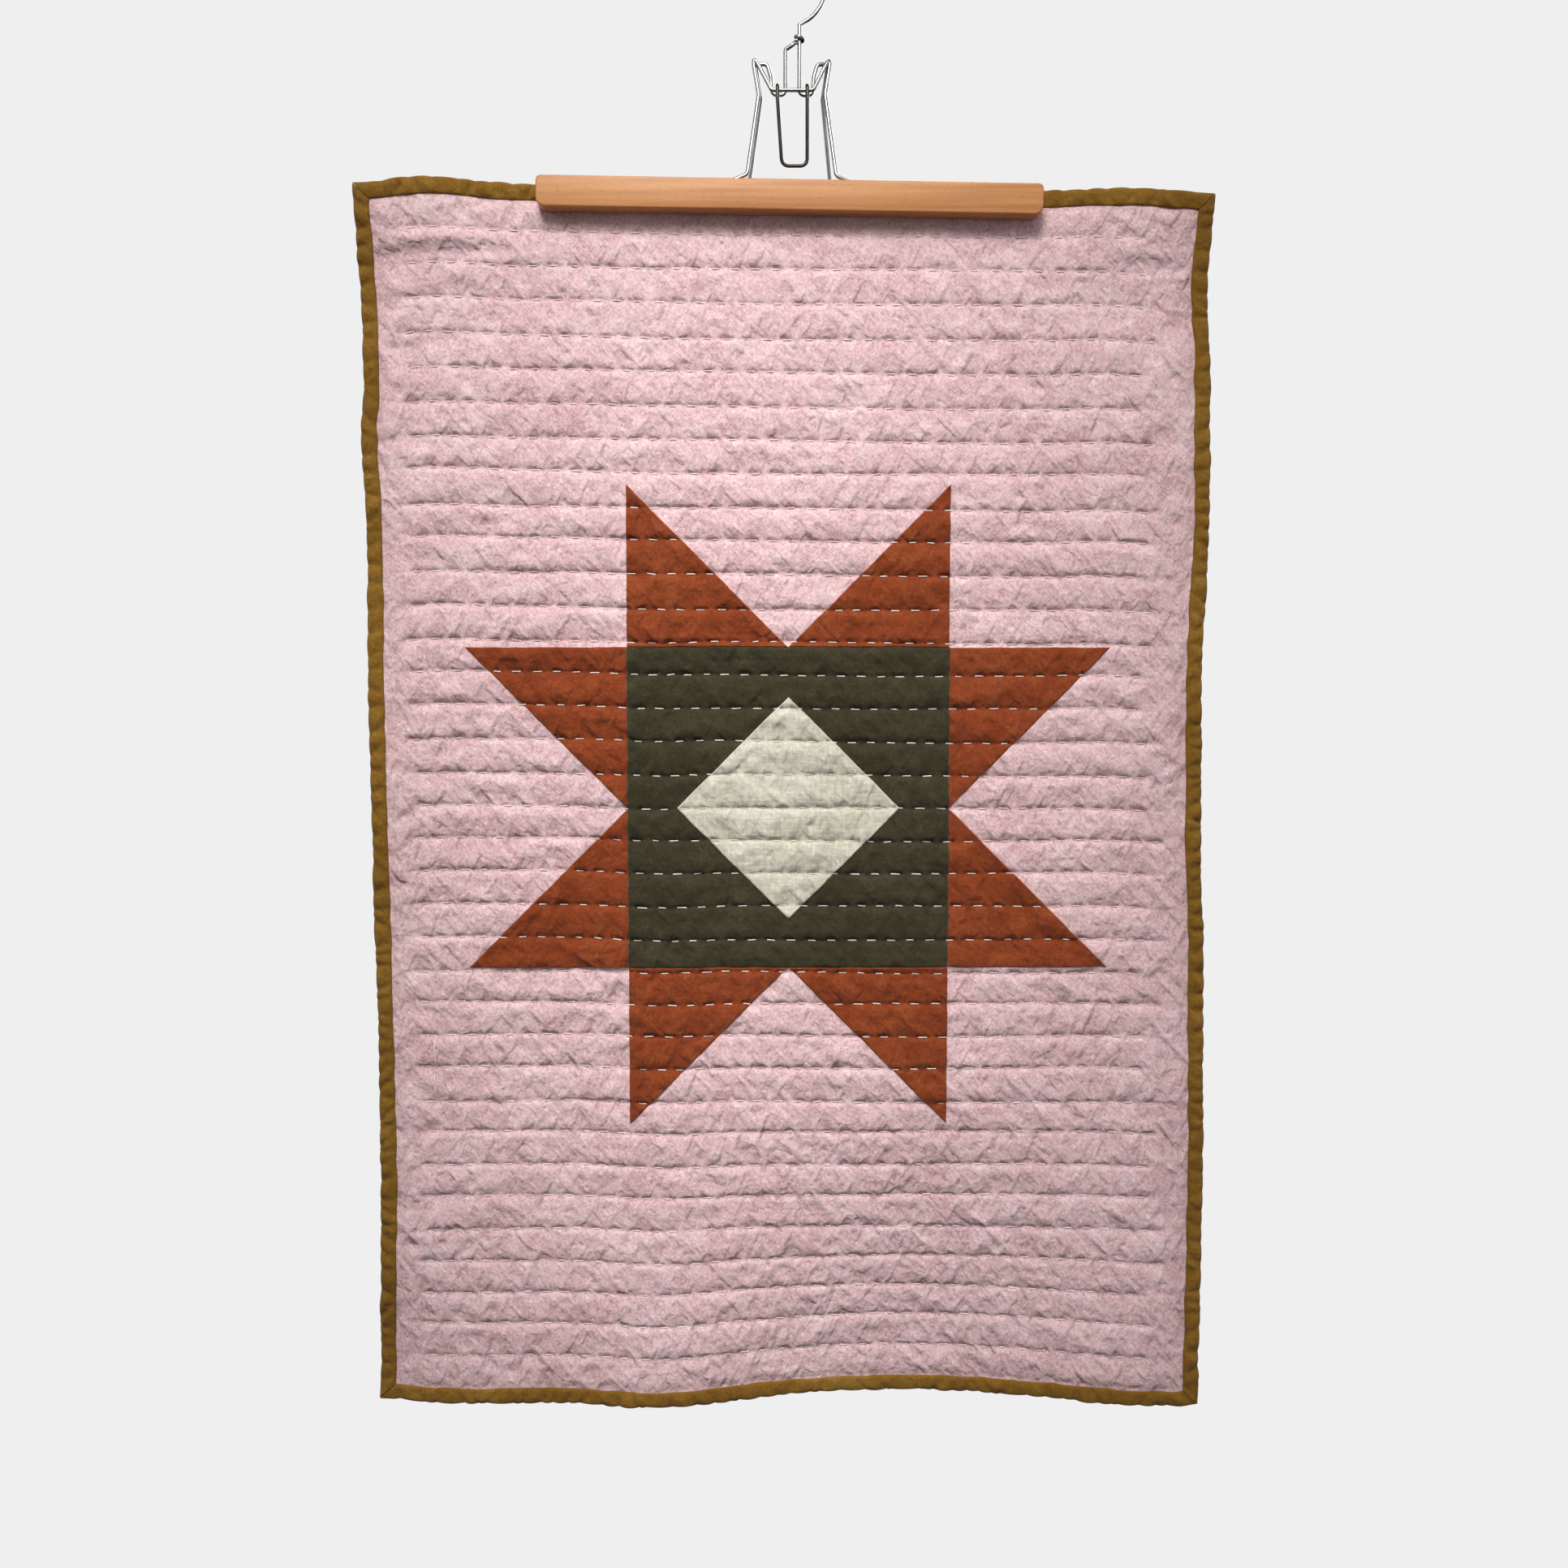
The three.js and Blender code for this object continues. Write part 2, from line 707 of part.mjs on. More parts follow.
// Cuts the slanting hole for each foot in its bar
function drilledBar(side, ...itsFeet) {
  let solid = toSolid(barGeometry(side));
  for (const foot of itsFeet) {
    const away = foot.end.clone().sub(foot.bend).normalize();
    const hole = [foot.bend, foot.end.clone().addScaledVector(away, 1)];
    solid = solid.subtract(toSolid(tubeGeometry(hole, wire.radius + clearance + 0.15)));
  }
  return toGeometry(solid);
}

// Materials

const finish = (color, roughness, metalness = 0) =>
  new THREE.MeshStandardMaterial({ color, roughness, metalness });

const pinkCotton = () => finish(0xd8c2c6, 0.95);
const mustardCotton = () => finish(0x87651f, 0.92);
const rustCotton = () => finish(0x8f4018, 0.94);
const oliveCotton = () => finish(0x38331f, 0.95);
const naturalLinen = () => finish(0xc6c1af, 0.96);
const beech = () => finish(0xd19a66, 0.55);
const steel = () => finish(0xb9bcbc, 0.25, 1);

// The scene graph

const group = new THREE.Group();

function addPiece(name, geometry, material) {
  const mesh = new THREE.Mesh(geometry, material);
  mesh.name = name;
  group.add(mesh);
}

addPiece('quilt', quiltGeometry(), pinkCotton());

// The sides' facets are as short as the cloth's where it curls at the top, and one to a channel below
const sideStations = levels
  .filter((level) => level.full !== 1 || level.down(0) < curlEnds)
  .map((level) => level.down(0));
addPiece(
  'binding_top',
  bindingGeometry(columns, quilt.width, (along, inward) => [along, inward]),
  mustardCotton(),
);
addPiece(
  'binding_bottom',
  bindingGeometry(columns, quilt.width, (along, inward) => [along, quilt.height - inward]),
  mustardCotton(),
);
addPiece(
  'binding_left',
  bindingGeometry(sideStations, quilt.height, (along, inward) => [inward, along]),
  mustardCotton(),
);
addPiece(
  'binding_right',
  bindingGeometry(sideStations, quilt.height, (along, inward) => [quilt.width - inward, along]),
  mustardCotton(),
);

starPoints.forEach((corners, i) => {
  addPiece(`star_point_${i + 1}`, toGeometry(lowerSkin.intersect(starPrism(corners))), rustCotton());
});
addPiece(
  'star_centre',
  toGeometry(lowerSkin.intersect(starPrism([[-1, -1], [1, -1], [1, 1], [-1, 1]]))),
  oliveCotton(),
);
const tip = star.diamondHalf / star.square;
addPiece(
  'star_diamond',
  toGeometry(upperSkin.intersect(starPrism([[0, -tip], [tip, 0], [0, tip], [-tip, 0]]))),
  naturalLinen(),
);

addPiece('front_bar', drilledBar(-1, feet.frontLeft, feet.frontRight), beech());
addPiece('back_bar', drilledBar(1, feet.rearLeft, feet.rearRight), beech());
addPiece('hook_frame', hookFrameGeometry(), steel());
addPiece('front_frame', frontFrameGeometry(), steel());
addPiece('lock_loop', lockLoopGeometry(), steel());

export default group;
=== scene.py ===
import math

import bmesh
import bpy
import numpy as np
from mathutils import Matrix, Vector


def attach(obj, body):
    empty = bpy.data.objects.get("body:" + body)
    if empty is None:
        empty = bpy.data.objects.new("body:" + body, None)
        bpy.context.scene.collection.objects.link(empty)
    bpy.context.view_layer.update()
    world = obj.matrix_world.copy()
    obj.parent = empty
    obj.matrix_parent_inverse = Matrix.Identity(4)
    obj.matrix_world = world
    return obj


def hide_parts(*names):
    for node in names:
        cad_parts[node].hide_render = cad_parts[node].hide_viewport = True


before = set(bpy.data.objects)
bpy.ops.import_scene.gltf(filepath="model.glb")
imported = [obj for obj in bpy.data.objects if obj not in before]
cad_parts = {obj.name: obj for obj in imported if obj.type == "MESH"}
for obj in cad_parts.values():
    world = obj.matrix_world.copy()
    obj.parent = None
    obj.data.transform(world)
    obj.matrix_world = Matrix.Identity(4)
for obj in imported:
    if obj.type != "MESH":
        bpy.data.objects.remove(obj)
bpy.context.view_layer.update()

# A small hand-quilted wall quilt in a wooden clamp hanger. Sizes are millimetres until a mesh is made.
# across runs from the quilt's left edge, down from its top edge, and proud is towards the viewer.
mm = 0.001
random = np.random.default_rng(12)
bpy.ops.object.select_all(action="DESELECT")
print("loaded", len(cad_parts), "solids")


# Small helpers

def ease(t):
    return t * t * (3 - 2 * t)


def between(low, high, value):
    return np.clip((value - low) / (high - low), 0, 1)


# How far a value lies outside a span
def outsideOf(low, high, value):
    return np.maximum(np.maximum(low - value, value - high), 0)


# A repeatable number from -1 to 1 for a row and a column
def uneven(i, j):
    wave = np.sin(i * 12.9898 + j * 78.233) * 43758.5453
    return 2 * (wave - np.floor(wave)) - 1


# Soft noise from -1 to 1, with lumps of that size
def drift(across, down, size, seed, sizeDown=None):
    u, v = across / size, down / (sizeDown or size)
    i, j = np.floor(u), np.floor(v)
    u, v = ease(u - i), ease(v - j)
    i, j = i + 37 * seed, j - 19 * seed
    upper = uneven(i, j) * (1 - u) + uneven(i + 1, j) * u
    lower = uneven(i, j + 1) * (1 - u) + uneven(i + 1, j + 1) * u
    return upper * (1 - v) + lower * v


def unit(vectors):
    return vectors / np.linalg.norm(vectors, axis=-1, keepdims=True)


def hexColour(text):
    shares = [int(text[i:i + 2], 16) / 255 for i in (0, 2, 4)]
    return (*[s / 12.92 if s <= 0.04045 else ((s + 0.055) / 1.055) ** 2.4 for s in shares], 1)


def newObject(name, data):
    made = bpy.data.objects.new(name, data)
    bpy.context.scene.collection.objects.link(made)
    return made


# A piece from points in millimetres, at the origin, with its place in its mesh
def makePiece(name, points, faces, material=None):
    mesh = bpy.data.meshes.new(name)
    mesh.from_pydata((np.asarray(points, float).reshape(-1, 3) * mm).tolist(), [], faces)
    mesh.validate()
    mesh.shade_smooth()
    if material:
        mesh.materials.append(material)
    return newObject(name, mesh)


def turnOutwards(piece):
    mesh = bmesh.new()
    mesh.from_mesh(piece.data)
    bmesh.ops.recalc_face_normals(mesh, faces=mesh.faces)
    mesh.to_mesh(piece.data)
    mesh.free()


def onlySelect(piece):
    bpy.ops.object.select_all(action="DESELECT")
    piece.select_set(True)
    bpy.context.view_layer.objects.active = piece


# The whole hanging is one body
def belong(piece, node=None):
    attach(piece, "root")
    if node:
        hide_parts(node)


# Materials

# Gives a node its inputs: a value, or another node's socket
def feed(node, inputs):
    for name, value in inputs.items():
        if isinstance(value, bpy.types.NodeSocket):
            node.id_data.links.new(value, node.inputs[name])
        else:
            node.inputs[name].default_value = value


# Adds a node with its settings and what goes into it, and gives back one of its outputs
def add(tree, kind, inputs, out=0, **settings):
    node = tree.nodes.new(kind)
    for name, value in settings.items():
        setattr(node, name, value)
    feed(node, inputs)
    return node.outputs[out]


def newMaterial(name):
    material = bpy.data.materials.new(name)
    material.use_nodes = True
    tree = material.node_tree
    place = add(tree, "ShaderNodeTexCoord", {}, "Object")
    return material, tree, tree.nodes["Principled BSDF"], place


# Soft lumps of that size, turned by degrees in the quilt's plane and stretched along x, y and z
def lumps(place, size, detail=2.0, roughness=0.5, turn=0, stretch=(1, 1, 1), distortion=0.0):
    turned = add(place.id_data, "ShaderNodeMapping", {
        "Vector": place, "Rotation": (0, math.radians(turn), 0), "Scale": stretch}, vector_type="TEXTURE")
    return add(place.id_data, "ShaderNodeTexNoise", {
        "Vector": turned, "Scale": 1 / (size * mm), "Detail": detail, "Roughness": roughness,
        "Distortion": distortion})


# Washed plain-weave cotton or linen: matt, softly mottled where the dye took unevenly, with a fine hatch of
# creases that never press out;
# the crumples and the hatch are also painted darker and lighter, as painted shade and highlight. Thread
# spacing is really 0.4 mm, drawn at about 1.1 mm so that it shows.
def wovenCloth(name, look):
    material, tree, shader, place = newMaterial(name)
    dye = lumps(place, 48, 3, 0.6)
    crumple = lumps(place, 9, 3, distortion=0.2)
    # Sharp creases 8 mm apart, between cells that wander by up to 7 mm
    wander = lumps(place, 9, 3).node.outputs["Color"]
    wandered = add(tree, "ShaderNodeVectorMath", {
        0: wander, 1: (7 * mm, 7 * mm, 7 * mm), 2: place}, operation="MULTIPLY_ADD")
    cells = add(tree, "ShaderNodeTexVoronoi", {
        "Vector": wandered, "Scale": 1 / (8 * mm), "Detail": 1.0}, "Distance")
    # Puckers, fine hatch and threads are each two patterns that cross
    puckers = add(tree, "ShaderNodeMath", {
        0: lumps(place, 5, 1, 0.4, 24, (1, 1, 3.5), 0.15),
        1: lumps(place, 5.5, 1, 0.4, -40, (1, 1, 3.5), 0.2)}, operation="MAXIMUM")
    hatch = add(tree, "ShaderNodeMath", {
        0: lumps(place, 0.9, 2, 0.6, 44, (1, 1, 2.6)),
        1: lumps(place, 0.9, 2, 0.6, -47, (1, 1, 2.6))}, operation="ADD")
    threads = add(tree, "ShaderNodeMath", {
        0: lumps(place, look["thread"], 2, 0.6, 0, (1, 1, 11)),
        1: lumps(place, look["thread"], 2, 0.6, 0, (11, 1, 1))}, operation="ADD")

    # Each pattern shifts the tone up or down from the cloth's middle colour: the dye and threads as the
    # cloth's own colour, the crumples and hatch as painted shade and highlight over their relief
    shade = 0.5
    for pattern, contrast, middle in ((dye, "dyeContrast", 0.5), (crumple, "crumplePaintedShade", 0.5),
                                      (hatch, "hatchPaintedShade", 1), (threads, "threadContrast", 1)):
        shift = add(tree, "ShaderNodeMath", {
            0: pattern, 1: look[contrast], 2: -look[contrast] * middle}, operation="MULTIPLY_ADD")
        shade = add(tree, "ShaderNodeMath", {0: shade, 1: shift}, operation="ADD")
    colours = add(tree, "ShaderNodeValToRGB", {"Fac": shade})
    stops = colours.node.color_ramp.elements
    stops[0].color, stops[1].color = hexColour(look["dark"]), hexColour(look["light"])
    stops.new(0.5).color = hexColour(look["colour"])

    # The relief, from coarse to fine, each with its height in millimetres
    normal = None
    for pattern, strength, high in ((cells, "crease", 1.1), (puckers, "pucker", 2.2), (crumple, "crumple", 2),
                                    (hatch, "hatch", 0.5), (threads, "weave", 0.2)):
        below = {} if normal is None else {"Normal": normal}
        normal = add(tree, "ShaderNodeBump", {
            "Height": pattern, "Strength": look[strength], "Distance": high * mm, **below})
    feed(shader, {
        "Base Color": colours, "Normal": normal, "Roughness": 0.92,
        "Specular IOR Level": 0.25, "Sheen Weight": 0.12, "Sheen Roughness": 0.5})
    return material


# The crumple and hatch contrasts set how much painted shade and highlight their relief puts into the colour
cottonLook = {
    "thread": 1.1, "dyeContrast": 0.5, "crumplePaintedShade": 0.6, "hatchPaintedShade": 1.0, "threadContrast": 0.3,
    "crumple": 0.8, "crease": 0.5, "pucker": 0.6, "hatch": 0.2, "weave": 0.15,
}
pinkLook = {
    **cottonLook, "colour": "ddb9ba", "dark": "b88a8c", "light": "f3dbdb",
    "crumple": 0.9, "pucker": 1.4, "hatch": 0.4,
}
pinkCotton = wovenCloth("pink_washed_cotton", pinkLook)
pinkBacking = wovenCloth("pink_backing_cotton", {**pinkLook, "crumple": 0.7, "pucker": 0.9})
mustardCotton = wovenCloth("mustard_cotton", {
    **cottonLook, "colour": "805a18", "dark": "5f400c", "light": "a37d38",
    "dyeContrast": 0.7, "crumplePaintedShade": 0.3, "hatchPaintedShade": 0.4})
rustCotton = wovenCloth("rust_washed_cotton", {
    **cottonLook, "colour": "853a17", "dark": "66280b", "light": "9f552d",
    "hatchPaintedShade": 0.5, "crumple": 1.1, "pucker": 1.3})
oliveCotton = wovenCloth("dark_olive_washed_cotton", {
    **cottonLook, "colour": "38331f", "dark": "262012", "light": "4b4733",
    "hatchPaintedShade": 0.6, "crumple": 1.0, "pucker": 1.2})
# Undyed linen: the same cloth with thicker and thinner threads that show as slubs both ways
naturalLinen = wovenCloth("natural_linen", {
    **cottonLook, "colour": "c6c1af", "dark": "a39c86", "light": "e3dfd1",
    "thread": 1.5, "threadContrast": 0.75, "hatchPaintedShade": 0.3, "weave": 0.45, "pucker": 1.1})
sewingThread = wovenCloth("off_white_cotton_thread", {
    **cottonLook, "colour": "e6d8cf", "dark": "cdbcb2", "light": "f5ece4", "crumple": 0.1, "hatch": 0.1,
    "crease": 0, "pucker": 0})


# Beech, planed and oiled: even and pale, with a faint straight grain and short dark flecks along it
def oiledBeech():
    material, tree, shader, place = newMaterial("oiled_beech")
    grain = lumps(place, 2.2, 4, stretch=(33.333, 1, 1))
    broad = lumps(place, 14, stretch=(8.333, 1, 1))
    fleck = lumps(place, 0.55, 1, stretch=(5, 1, 1))
    mixed = add(tree, "ShaderNodeMix", {0: 0.5, 2: grain, 3: broad})
    colours = add(tree, "ShaderNodeValToRGB", {"Fac": mixed})
    for stop, at, colour in zip(colours.node.color_ramp.elements, (0.35, 0.65), ("a9692f", "cb8c4e")):
        stop.position, stop.color = at, hexColour(colour)
    flecks = add(tree, "ShaderNodeMapRange", {
        "Value": fleck, "From Min": 0.6, "From Max": 0.7, "To Max": 0.45})
    flecked = add(tree, "ShaderNodeMix", {
        0: flecks, 6: colours, 7: hexColour("84532a")}, out=2, data_type="RGBA")
    bump = add(tree, "ShaderNodeBump", {"Height": grain, "Strength": 0.25, "Distance": 0.15 * mm})
    feed(shader, {
        "Base Color": flecked, "Normal": bump, "Roughness": 0.5,
        "Coat Weight": 0.12, "Coat Roughness": 0.35})
    return material


# Bright zinc-plated steel wire, drawn: smooth, with faint marks from the die and a slightly uneven plating
def platedSteel(name, dark, light):
    material, tree, shader, place = newMaterial(name)
    marks = lumps(place, 9)
    shine = add(tree, "ShaderNodeMapRange", {"Value": marks, "To Min": 0.24, "To Max": 0.34})
    colours = add(tree, "ShaderNodeMix", {
        0: marks, 6: hexColour(dark), 7: hexColour(light)}, out=2, data_type="RGBA")
    feed(shader, {"Base Color": colours, "Roughness": shine, "Metallic": 1.0})
    return material


beech = oiledBeech()
steel = platedSteel("zinc_plated_steel_wire", "828584", "bcbebc")
# The lock loop's wire: the same plated steel drawn darker, its dark colours painted shade and painted dark
# reflection
loopSteelPaintedDark = platedSteel("steel_wire_painted_dark", "282524", "524e4b")
print("materials made")


# The cloth's shape, from the solids' own sizes

quilt = {
    "width": 427, "height": 624, "leftX": -211.3, "topZ": -118.2,
    "fall": 1.6,  # the top edge's right end hangs this much lower than its middle
    "fallBelow": 0.4,  # the share of it at the bottom edge
    "crestFront": 2.55, "crestBack": 2.0,  # from the cloth's middle to a channel's crest
    "underBinding": 1.05, "bindingHolds": 9.2,  # how thick it is there, and how far in it is held
    "riseFrom": 8.8, "riseTo": 14.5,  # where it swells past the binding
    "flatUnderBar": 2.5, "flatPastBar": 4, "freeOfBar": 40,  # how thick, and how far past the bar
    "grooveFront": 1.45, "grooveBack": 1.35,  # how far a stitch pulls the face in
    "grooveWide": 2.5, "grooveLong": 2.4,
    "betweenStitches": 0.5,  # the share of the groove that is left there
    "shallowBelow": 0.3, "shallowAtBar": 0.45,  # how much shallower near the bottom and the bar
    "cutEdge": 2.2,  # inside the binding
    "innerGap": 0.04,  # from the cloth's middle to each half's inner side
}
rows = {
    "count": 35, "first": 23.4, "pitch": 16.9, "wander": 0.9, "startsIn": 24, "endsIn": 25,
}
edges = {  # how far each edge strays outwards, along it
    "top": ((0, -1.2), (38, 2.2), (84, 0.5), (214, 0), (345, 0), (367, 1), (427, -1.8)),
    "bottom": ((0, -1.2), (32, 0.6), (98, -0.6), (147, 1.9), (190, 0), (272, 0.6), (355, 0.2),
               (414, 1.3), (427, 0.6)),
    "left": ((0, 2.6), (100, 0), (122, 1.7), (165, -0.3), (215, -0.2), (500, -2), (602, 0.4), (624, 1.4)),
    "right": ((0, -1), (40, -2.6), (88, -0.6), (157, 0.5), (246, -2.2), (300, -1.5), (388, 1.7),
              (500, 2.8), (624, 1.4)),
}
folds = (  # where it hangs out of its plane: across, reach, down, reach, forward
    (272, 128, 640, 200, -17), (140, 90, 630, 150, 2.5), (405, 80, 630, 170, 3),
    (20, 90, -6, 52, 6), (412, 80, -6, 46, 6), (30, 120, 60, 30, -1.6), (402, 90, 56, 26, -2.2),
    (0, 70, 300, 130, 2.4), (427, 60, 360, 120, -2.6), (0, 60, 604, 60, -4),
)
bar = {
    "length": 250, "tall": 15, "deep": 11, "middleX": 2.7, "topZ": -117.8, "tilt": 0.0129,
    "topRadius": 2.5, "bottomRadius": 4.5, "edgeRound": 0.8, "faceY": 2.75,
    "drill": 1.35, "drillFrom": 2, "drillPast": 1,  # its radius, and how far it starts above and ends below
}
barLeft = bar["middleX"] - bar["length"] / 2 - quilt["leftX"]
barRight = barLeft + bar["length"]


def strayOf(edge, along):
    stops, outs = np.array(edges[edge], float).T
    i = np.clip(np.searchsorted(stops, along) - 1, 0, len(stops) - 2)
    return outs[i] + (outs[i + 1] - outs[i]) * ease(between(stops[i], stops[i + 1], along))


def bell(t):
    return np.where(np.abs(t) < 1, 0.5 + 0.5 * np.cos(np.pi * t), 0)


# 0 where the bars hold the cloth flat, and 1 well away from them
def freeOfClamp(across, down):
    beside = np.maximum(outsideOf(barLeft, barRight, across) - quilt["flatPastBar"], 0)
    below = np.maximum(down - bar["tall"] - quilt["flatPastBar"], 0)
    return ease(between(0, quilt["freeOfBar"], np.hypot(beside, below)))


def middleOfCloth(across, down):
    left = quilt["leftX"] - strayOf("left", down)
    right = quilt["leftX"] + quilt["width"] + strayOf("right", down)
    lean = quilt["fall"] * (1 - 2 * across / quilt["width"])
    top = quilt["topZ"] + lean + strayOf("top", across)
    bottom = quilt["topZ"] - quilt["height"] + lean * quilt["fallBelow"] - strayOf("bottom", across)
    forward = sum(far * bell((across - a) / ra) * bell((down - d) / rd) for a, ra, d, rd, far in folds)
    return np.stack([
        left + (right - left) * across / quilt["width"],
        -forward * freeOfClamp(across, down),
        top + (bottom - top) * down / quilt["height"],
    ], -1)


def onCloth(across, down, proud):
    sideways = middleOfCloth(across + 1, down) - middleOfCloth(across - 1, down)
    upwards = middleOfCloth(across, down - 1) - middleOfCloth(across, down + 1)
    normal = unit(np.cross(sideways, upwards))
    return middleOfCloth(across, down) + normal * np.asarray(proud)[..., None]


# The place across and down where the cloth's middle passes over x and z
def clothUnder(x, z):
    across, down = x - quilt["leftX"], quilt["topZ"] - z
    for _ in range(4):
        here = middleOfCloth(across, down)
        across, down = across + x - here[..., 0], down + here[..., 2] - z
    return across, down


def rowDown(k, across):
    level = rows["first"] + rows["pitch"] * k + 0 * across
    if 0 < k < rows["count"] - 1:
        level = level + rows["wander"] * (
            0.6 * uneven(k, 3) + 0.4 * np.sin(across / 47 + 5 * uneven(k, 8)))
    return level


# The running stitches, placed one by one

stitching = {
    "length": 4.3, "gap": 5.7, "leastGap": 3.5, "uneven": 0.45,
    "startsVary": 2.5, "endsVary": 5,  # from row to row
    "strays": 0.13,  # off the row's line
    "shorterBehind": 0.6,  # at each end
    "thread": 0.68, "sides": 6,  # its diameter, and its facets
    "sunk": 0.22,  # how deep its middle lies below the cloth beside it
    "tuckedIn": 0.5,  # how deep it dives at its ends
    "dent": 0.55,  # how deep it is pulled into the cloth, in a furrow of its own
    "dentInner": 0.55, "dentOuter": 1.0,  # the furrow's half width, at its bottom and at its top
}


# Each stitch: where it starts and ends across, and how far off the row each end lies
def sewRow(k):
    at = rows["startsIn"] + stitching["startsVary"] * uneven(k, 21)
    last = quilt["width"] - rows["endsIn"] + stitching["endsVary"] * uneven(k, 22)
    stitches = []
    while at < last - stitching["length"]:
        length = stitching["length"] + stitching["uneven"] * random.normal()
        stitches.append((at, at + length, *(stitching["strays"] * random.normal(size=2))))
        gap = stitching["gap"] + 1.1 * stitching["uneven"] * random.normal()
        at += length + max(gap, stitching["leastGap"])
    return np.array(stitches)


# A running stitch shows behind where it doesn't show in front
def stitchesBehind(sewn):
    starts, ends = sewn[:-1, 1] + stitching["shorterBehind"], sewn[1:, 0] - stitching["shorterBehind"]
    return np.column_stack([starts, ends, sewn[:-1, 3], sewn[1:, 2]])


frontStitches = [sewRow(k) for k in range(rows["count"])]
backStitches = [stitchesBehind(sewn) for sewn in frontStitches]
print("stitches in front", sum(len(s) for s in frontStitches))

# Creases of the hanging quilt, listed one by one: from and to (across, down), half width, depth
creases = (
    (0, 36, 76, 33, 2.8, 1.5), (0, 29, 62, 29, 3.6, -0.8), (385, 37, 420, 36, 3.0, 1.2),
    (357, 9, 359, 27, 1.6, 0.7), (8, 84, 46, 78, 3.0, 1.1), (0, 92, 30, 100, 3.4, -0.6),
    (10, 52, 60, 46, 4.0, -0.5),
    (10, 126, 44, 131, 3.0, 0.6), (395, 70, 420, 64, 3.0, 0.6), (398, 120, 422, 128, 3.0, 0.5),
    (8, 292, 40, 299, 2.6, 0.8), (10, 318, 34, 312, 2.6, 0.7), (8, 350, 36, 356, 2.6, 0.6),
    (12, 380, 26, 374, 2.4, 0.6), (396, 300, 420, 292, 2.8, 0.6), (394, 410, 421, 416, 2.8, 0.6),
    (10, 480, 34, 474, 2.6, 0.5), (60, 612, 78, 600, 3.0, 0.6), (150, 600, 170, 613, 3.0, 0.5),
    (300, 602, 318, 613, 3.0, 0.5), (396, 560, 420, 566, 2.8, 0.5),
    (20, 11, 34, 24, 3.2, 0.6), (33, 9, 50, 22, 2.8, 0.5), (50, 12, 60, 21, 2.6, 0.5),
    (62, 10, 72, 20, 2.4, 0.4),
    (366, 10, 384, 21, 3.0, 0.6), (384, 12, 402, 18, 2.8, 0.5), (370, 32, 392, 34, 2.6, 0.4),
    (20, 186, 44, 190, 2.8, 0.5), (10, 214, 34, 209, 2.8, 0.5), (392, 196, 416, 190, 3.0, 0.6),
    (396, 236, 420, 241, 2.8, 0.6), (10, 414, 38, 419, 3.0, 0.6), (10, 450, 30, 446, 2.6, 0.5),
    (12, 520, 40, 514, 3.0, 0.6), (394, 470, 420, 464, 2.8, 0.5), (394, 520, 418, 524, 2.8, 0.5),
)


def creaseDepth(across, down):
    total = 0 * across
    for fromAcross, fromDown, toAcross, toDown, wide, deep in creases:
        run = np.array([toAcross - fromAcross, toDown - fromDown], float)
        t = ((across - fromAcross) * run[0] + (down - fromDown) * run[1]) / (run @ run)
        near = np.clip(t, 0, 1)
        off = np.hypot(across - fromAcross - near * run[0], down - fromDown - near * run[1])
        total = total + 1.5 * deep * np.exp(-(off / wide) ** 2)
    return total


# From the cloth's middle to its face before it settles: channels between the rows, drawn in at each stitch
def sewnHeight(side, across, down, stitches):
    crest = quilt["crestFront"] if side > 0 else quilt["crestBack"]
    depth = quilt["grooveFront"] if side > 0 else quilt["grooveBack"]
    height = crest * (1 + 0.10 * drift(across, down, 26, 3 + side) + 0.05 * drift(across, down, 9, 5 + side))
    groove = 0 * across
    for k, sewn in enumerate(stitches):
        off = np.abs(down - rowDown(k, across))
        reach = off < 12
        if not reach.any():
            continue
        x = across[reach]
        toStitch = outsideOf(sewn[:, :1], sewn[:, 1:2], x).min(0)
        beyond = outsideOf(sewn[0, 0], sewn[-1, 1], x)
        least = quilt["betweenStitches"]
        drawn = least + (1 - least) * np.exp(-(toStitch / quilt["grooveLong"]) ** 2)
        here = depth * np.exp(-(off[reach] / quilt["grooveWide"]) ** 1.5) * drawn * np.exp(-(beyond / 8) ** 2)
        groove[reach] = np.maximum(groove[reach], here)
    shallower = (quilt["shallowBelow"] * ease(between(300, 520, down))
                 + quilt["shallowAtBar"] * (1 - ease(between(50, 190, down))))
    height = height - groove * (1 - shallower)
    if side > 0:
        height = height - creaseDepth(across, down)
    toEdge = np.minimum(np.minimum(across, quilt["width"] - across), np.minimum(down, quilt["height"] - down))
    swelling = between(quilt["riseFrom"], quilt["riseTo"], toEdge + 0.5 * drift(across, down, 11, 9))
    rise = np.sin(np.pi / 2 * swelling)
    height = quilt["underBinding"] + (height - quilt["underBinding"]) * rise
    underBar = ease(between(-4, 0, np.minimum(across - barLeft, barRight - across)))
    underBar = underBar * (1 - ease(between(bar["tall"], bar["tall"] + 5, down))) * rise
    return height + (quilt["flatUnderBar"] - height) * underBar, toEdge, underBar


# Cloth simulation: the face is a little larger than its wadding, so it puckers between the stitches

settling = {
    "frames": 12, "enlarged": 10.0,  # the solver is steadier on a larger cloth
    "growth": 0.026,  # how much larger the face is than its wadding
    "jitter": 0.08, "mostMove": 2.0,
    "freeFrom": 15,  # it stays put beside the binding, and moves freely this far in
}
clothSettings = {
    "quality": 3, "mass": 0.05, "tension_stiffness": 15, "compression_stiffness": 15,
    "shear_stiffness": 5, "bending_stiffness": 0.03, "vertex_group_mass": "held",
    "shrink_min": -settling["growth"], "use_pressure": True, "uniform_pressure_force": 0.02,
}


def gridFaces(levels, columns):
    r, c = np.meshgrid(np.arange(levels - 1), np.arange(columns - 1), indexing="ij")
    a = (r * columns + c).ravel()
    return np.column_stack([a, a + columns, a + columns + 1, a + 1]).tolist()


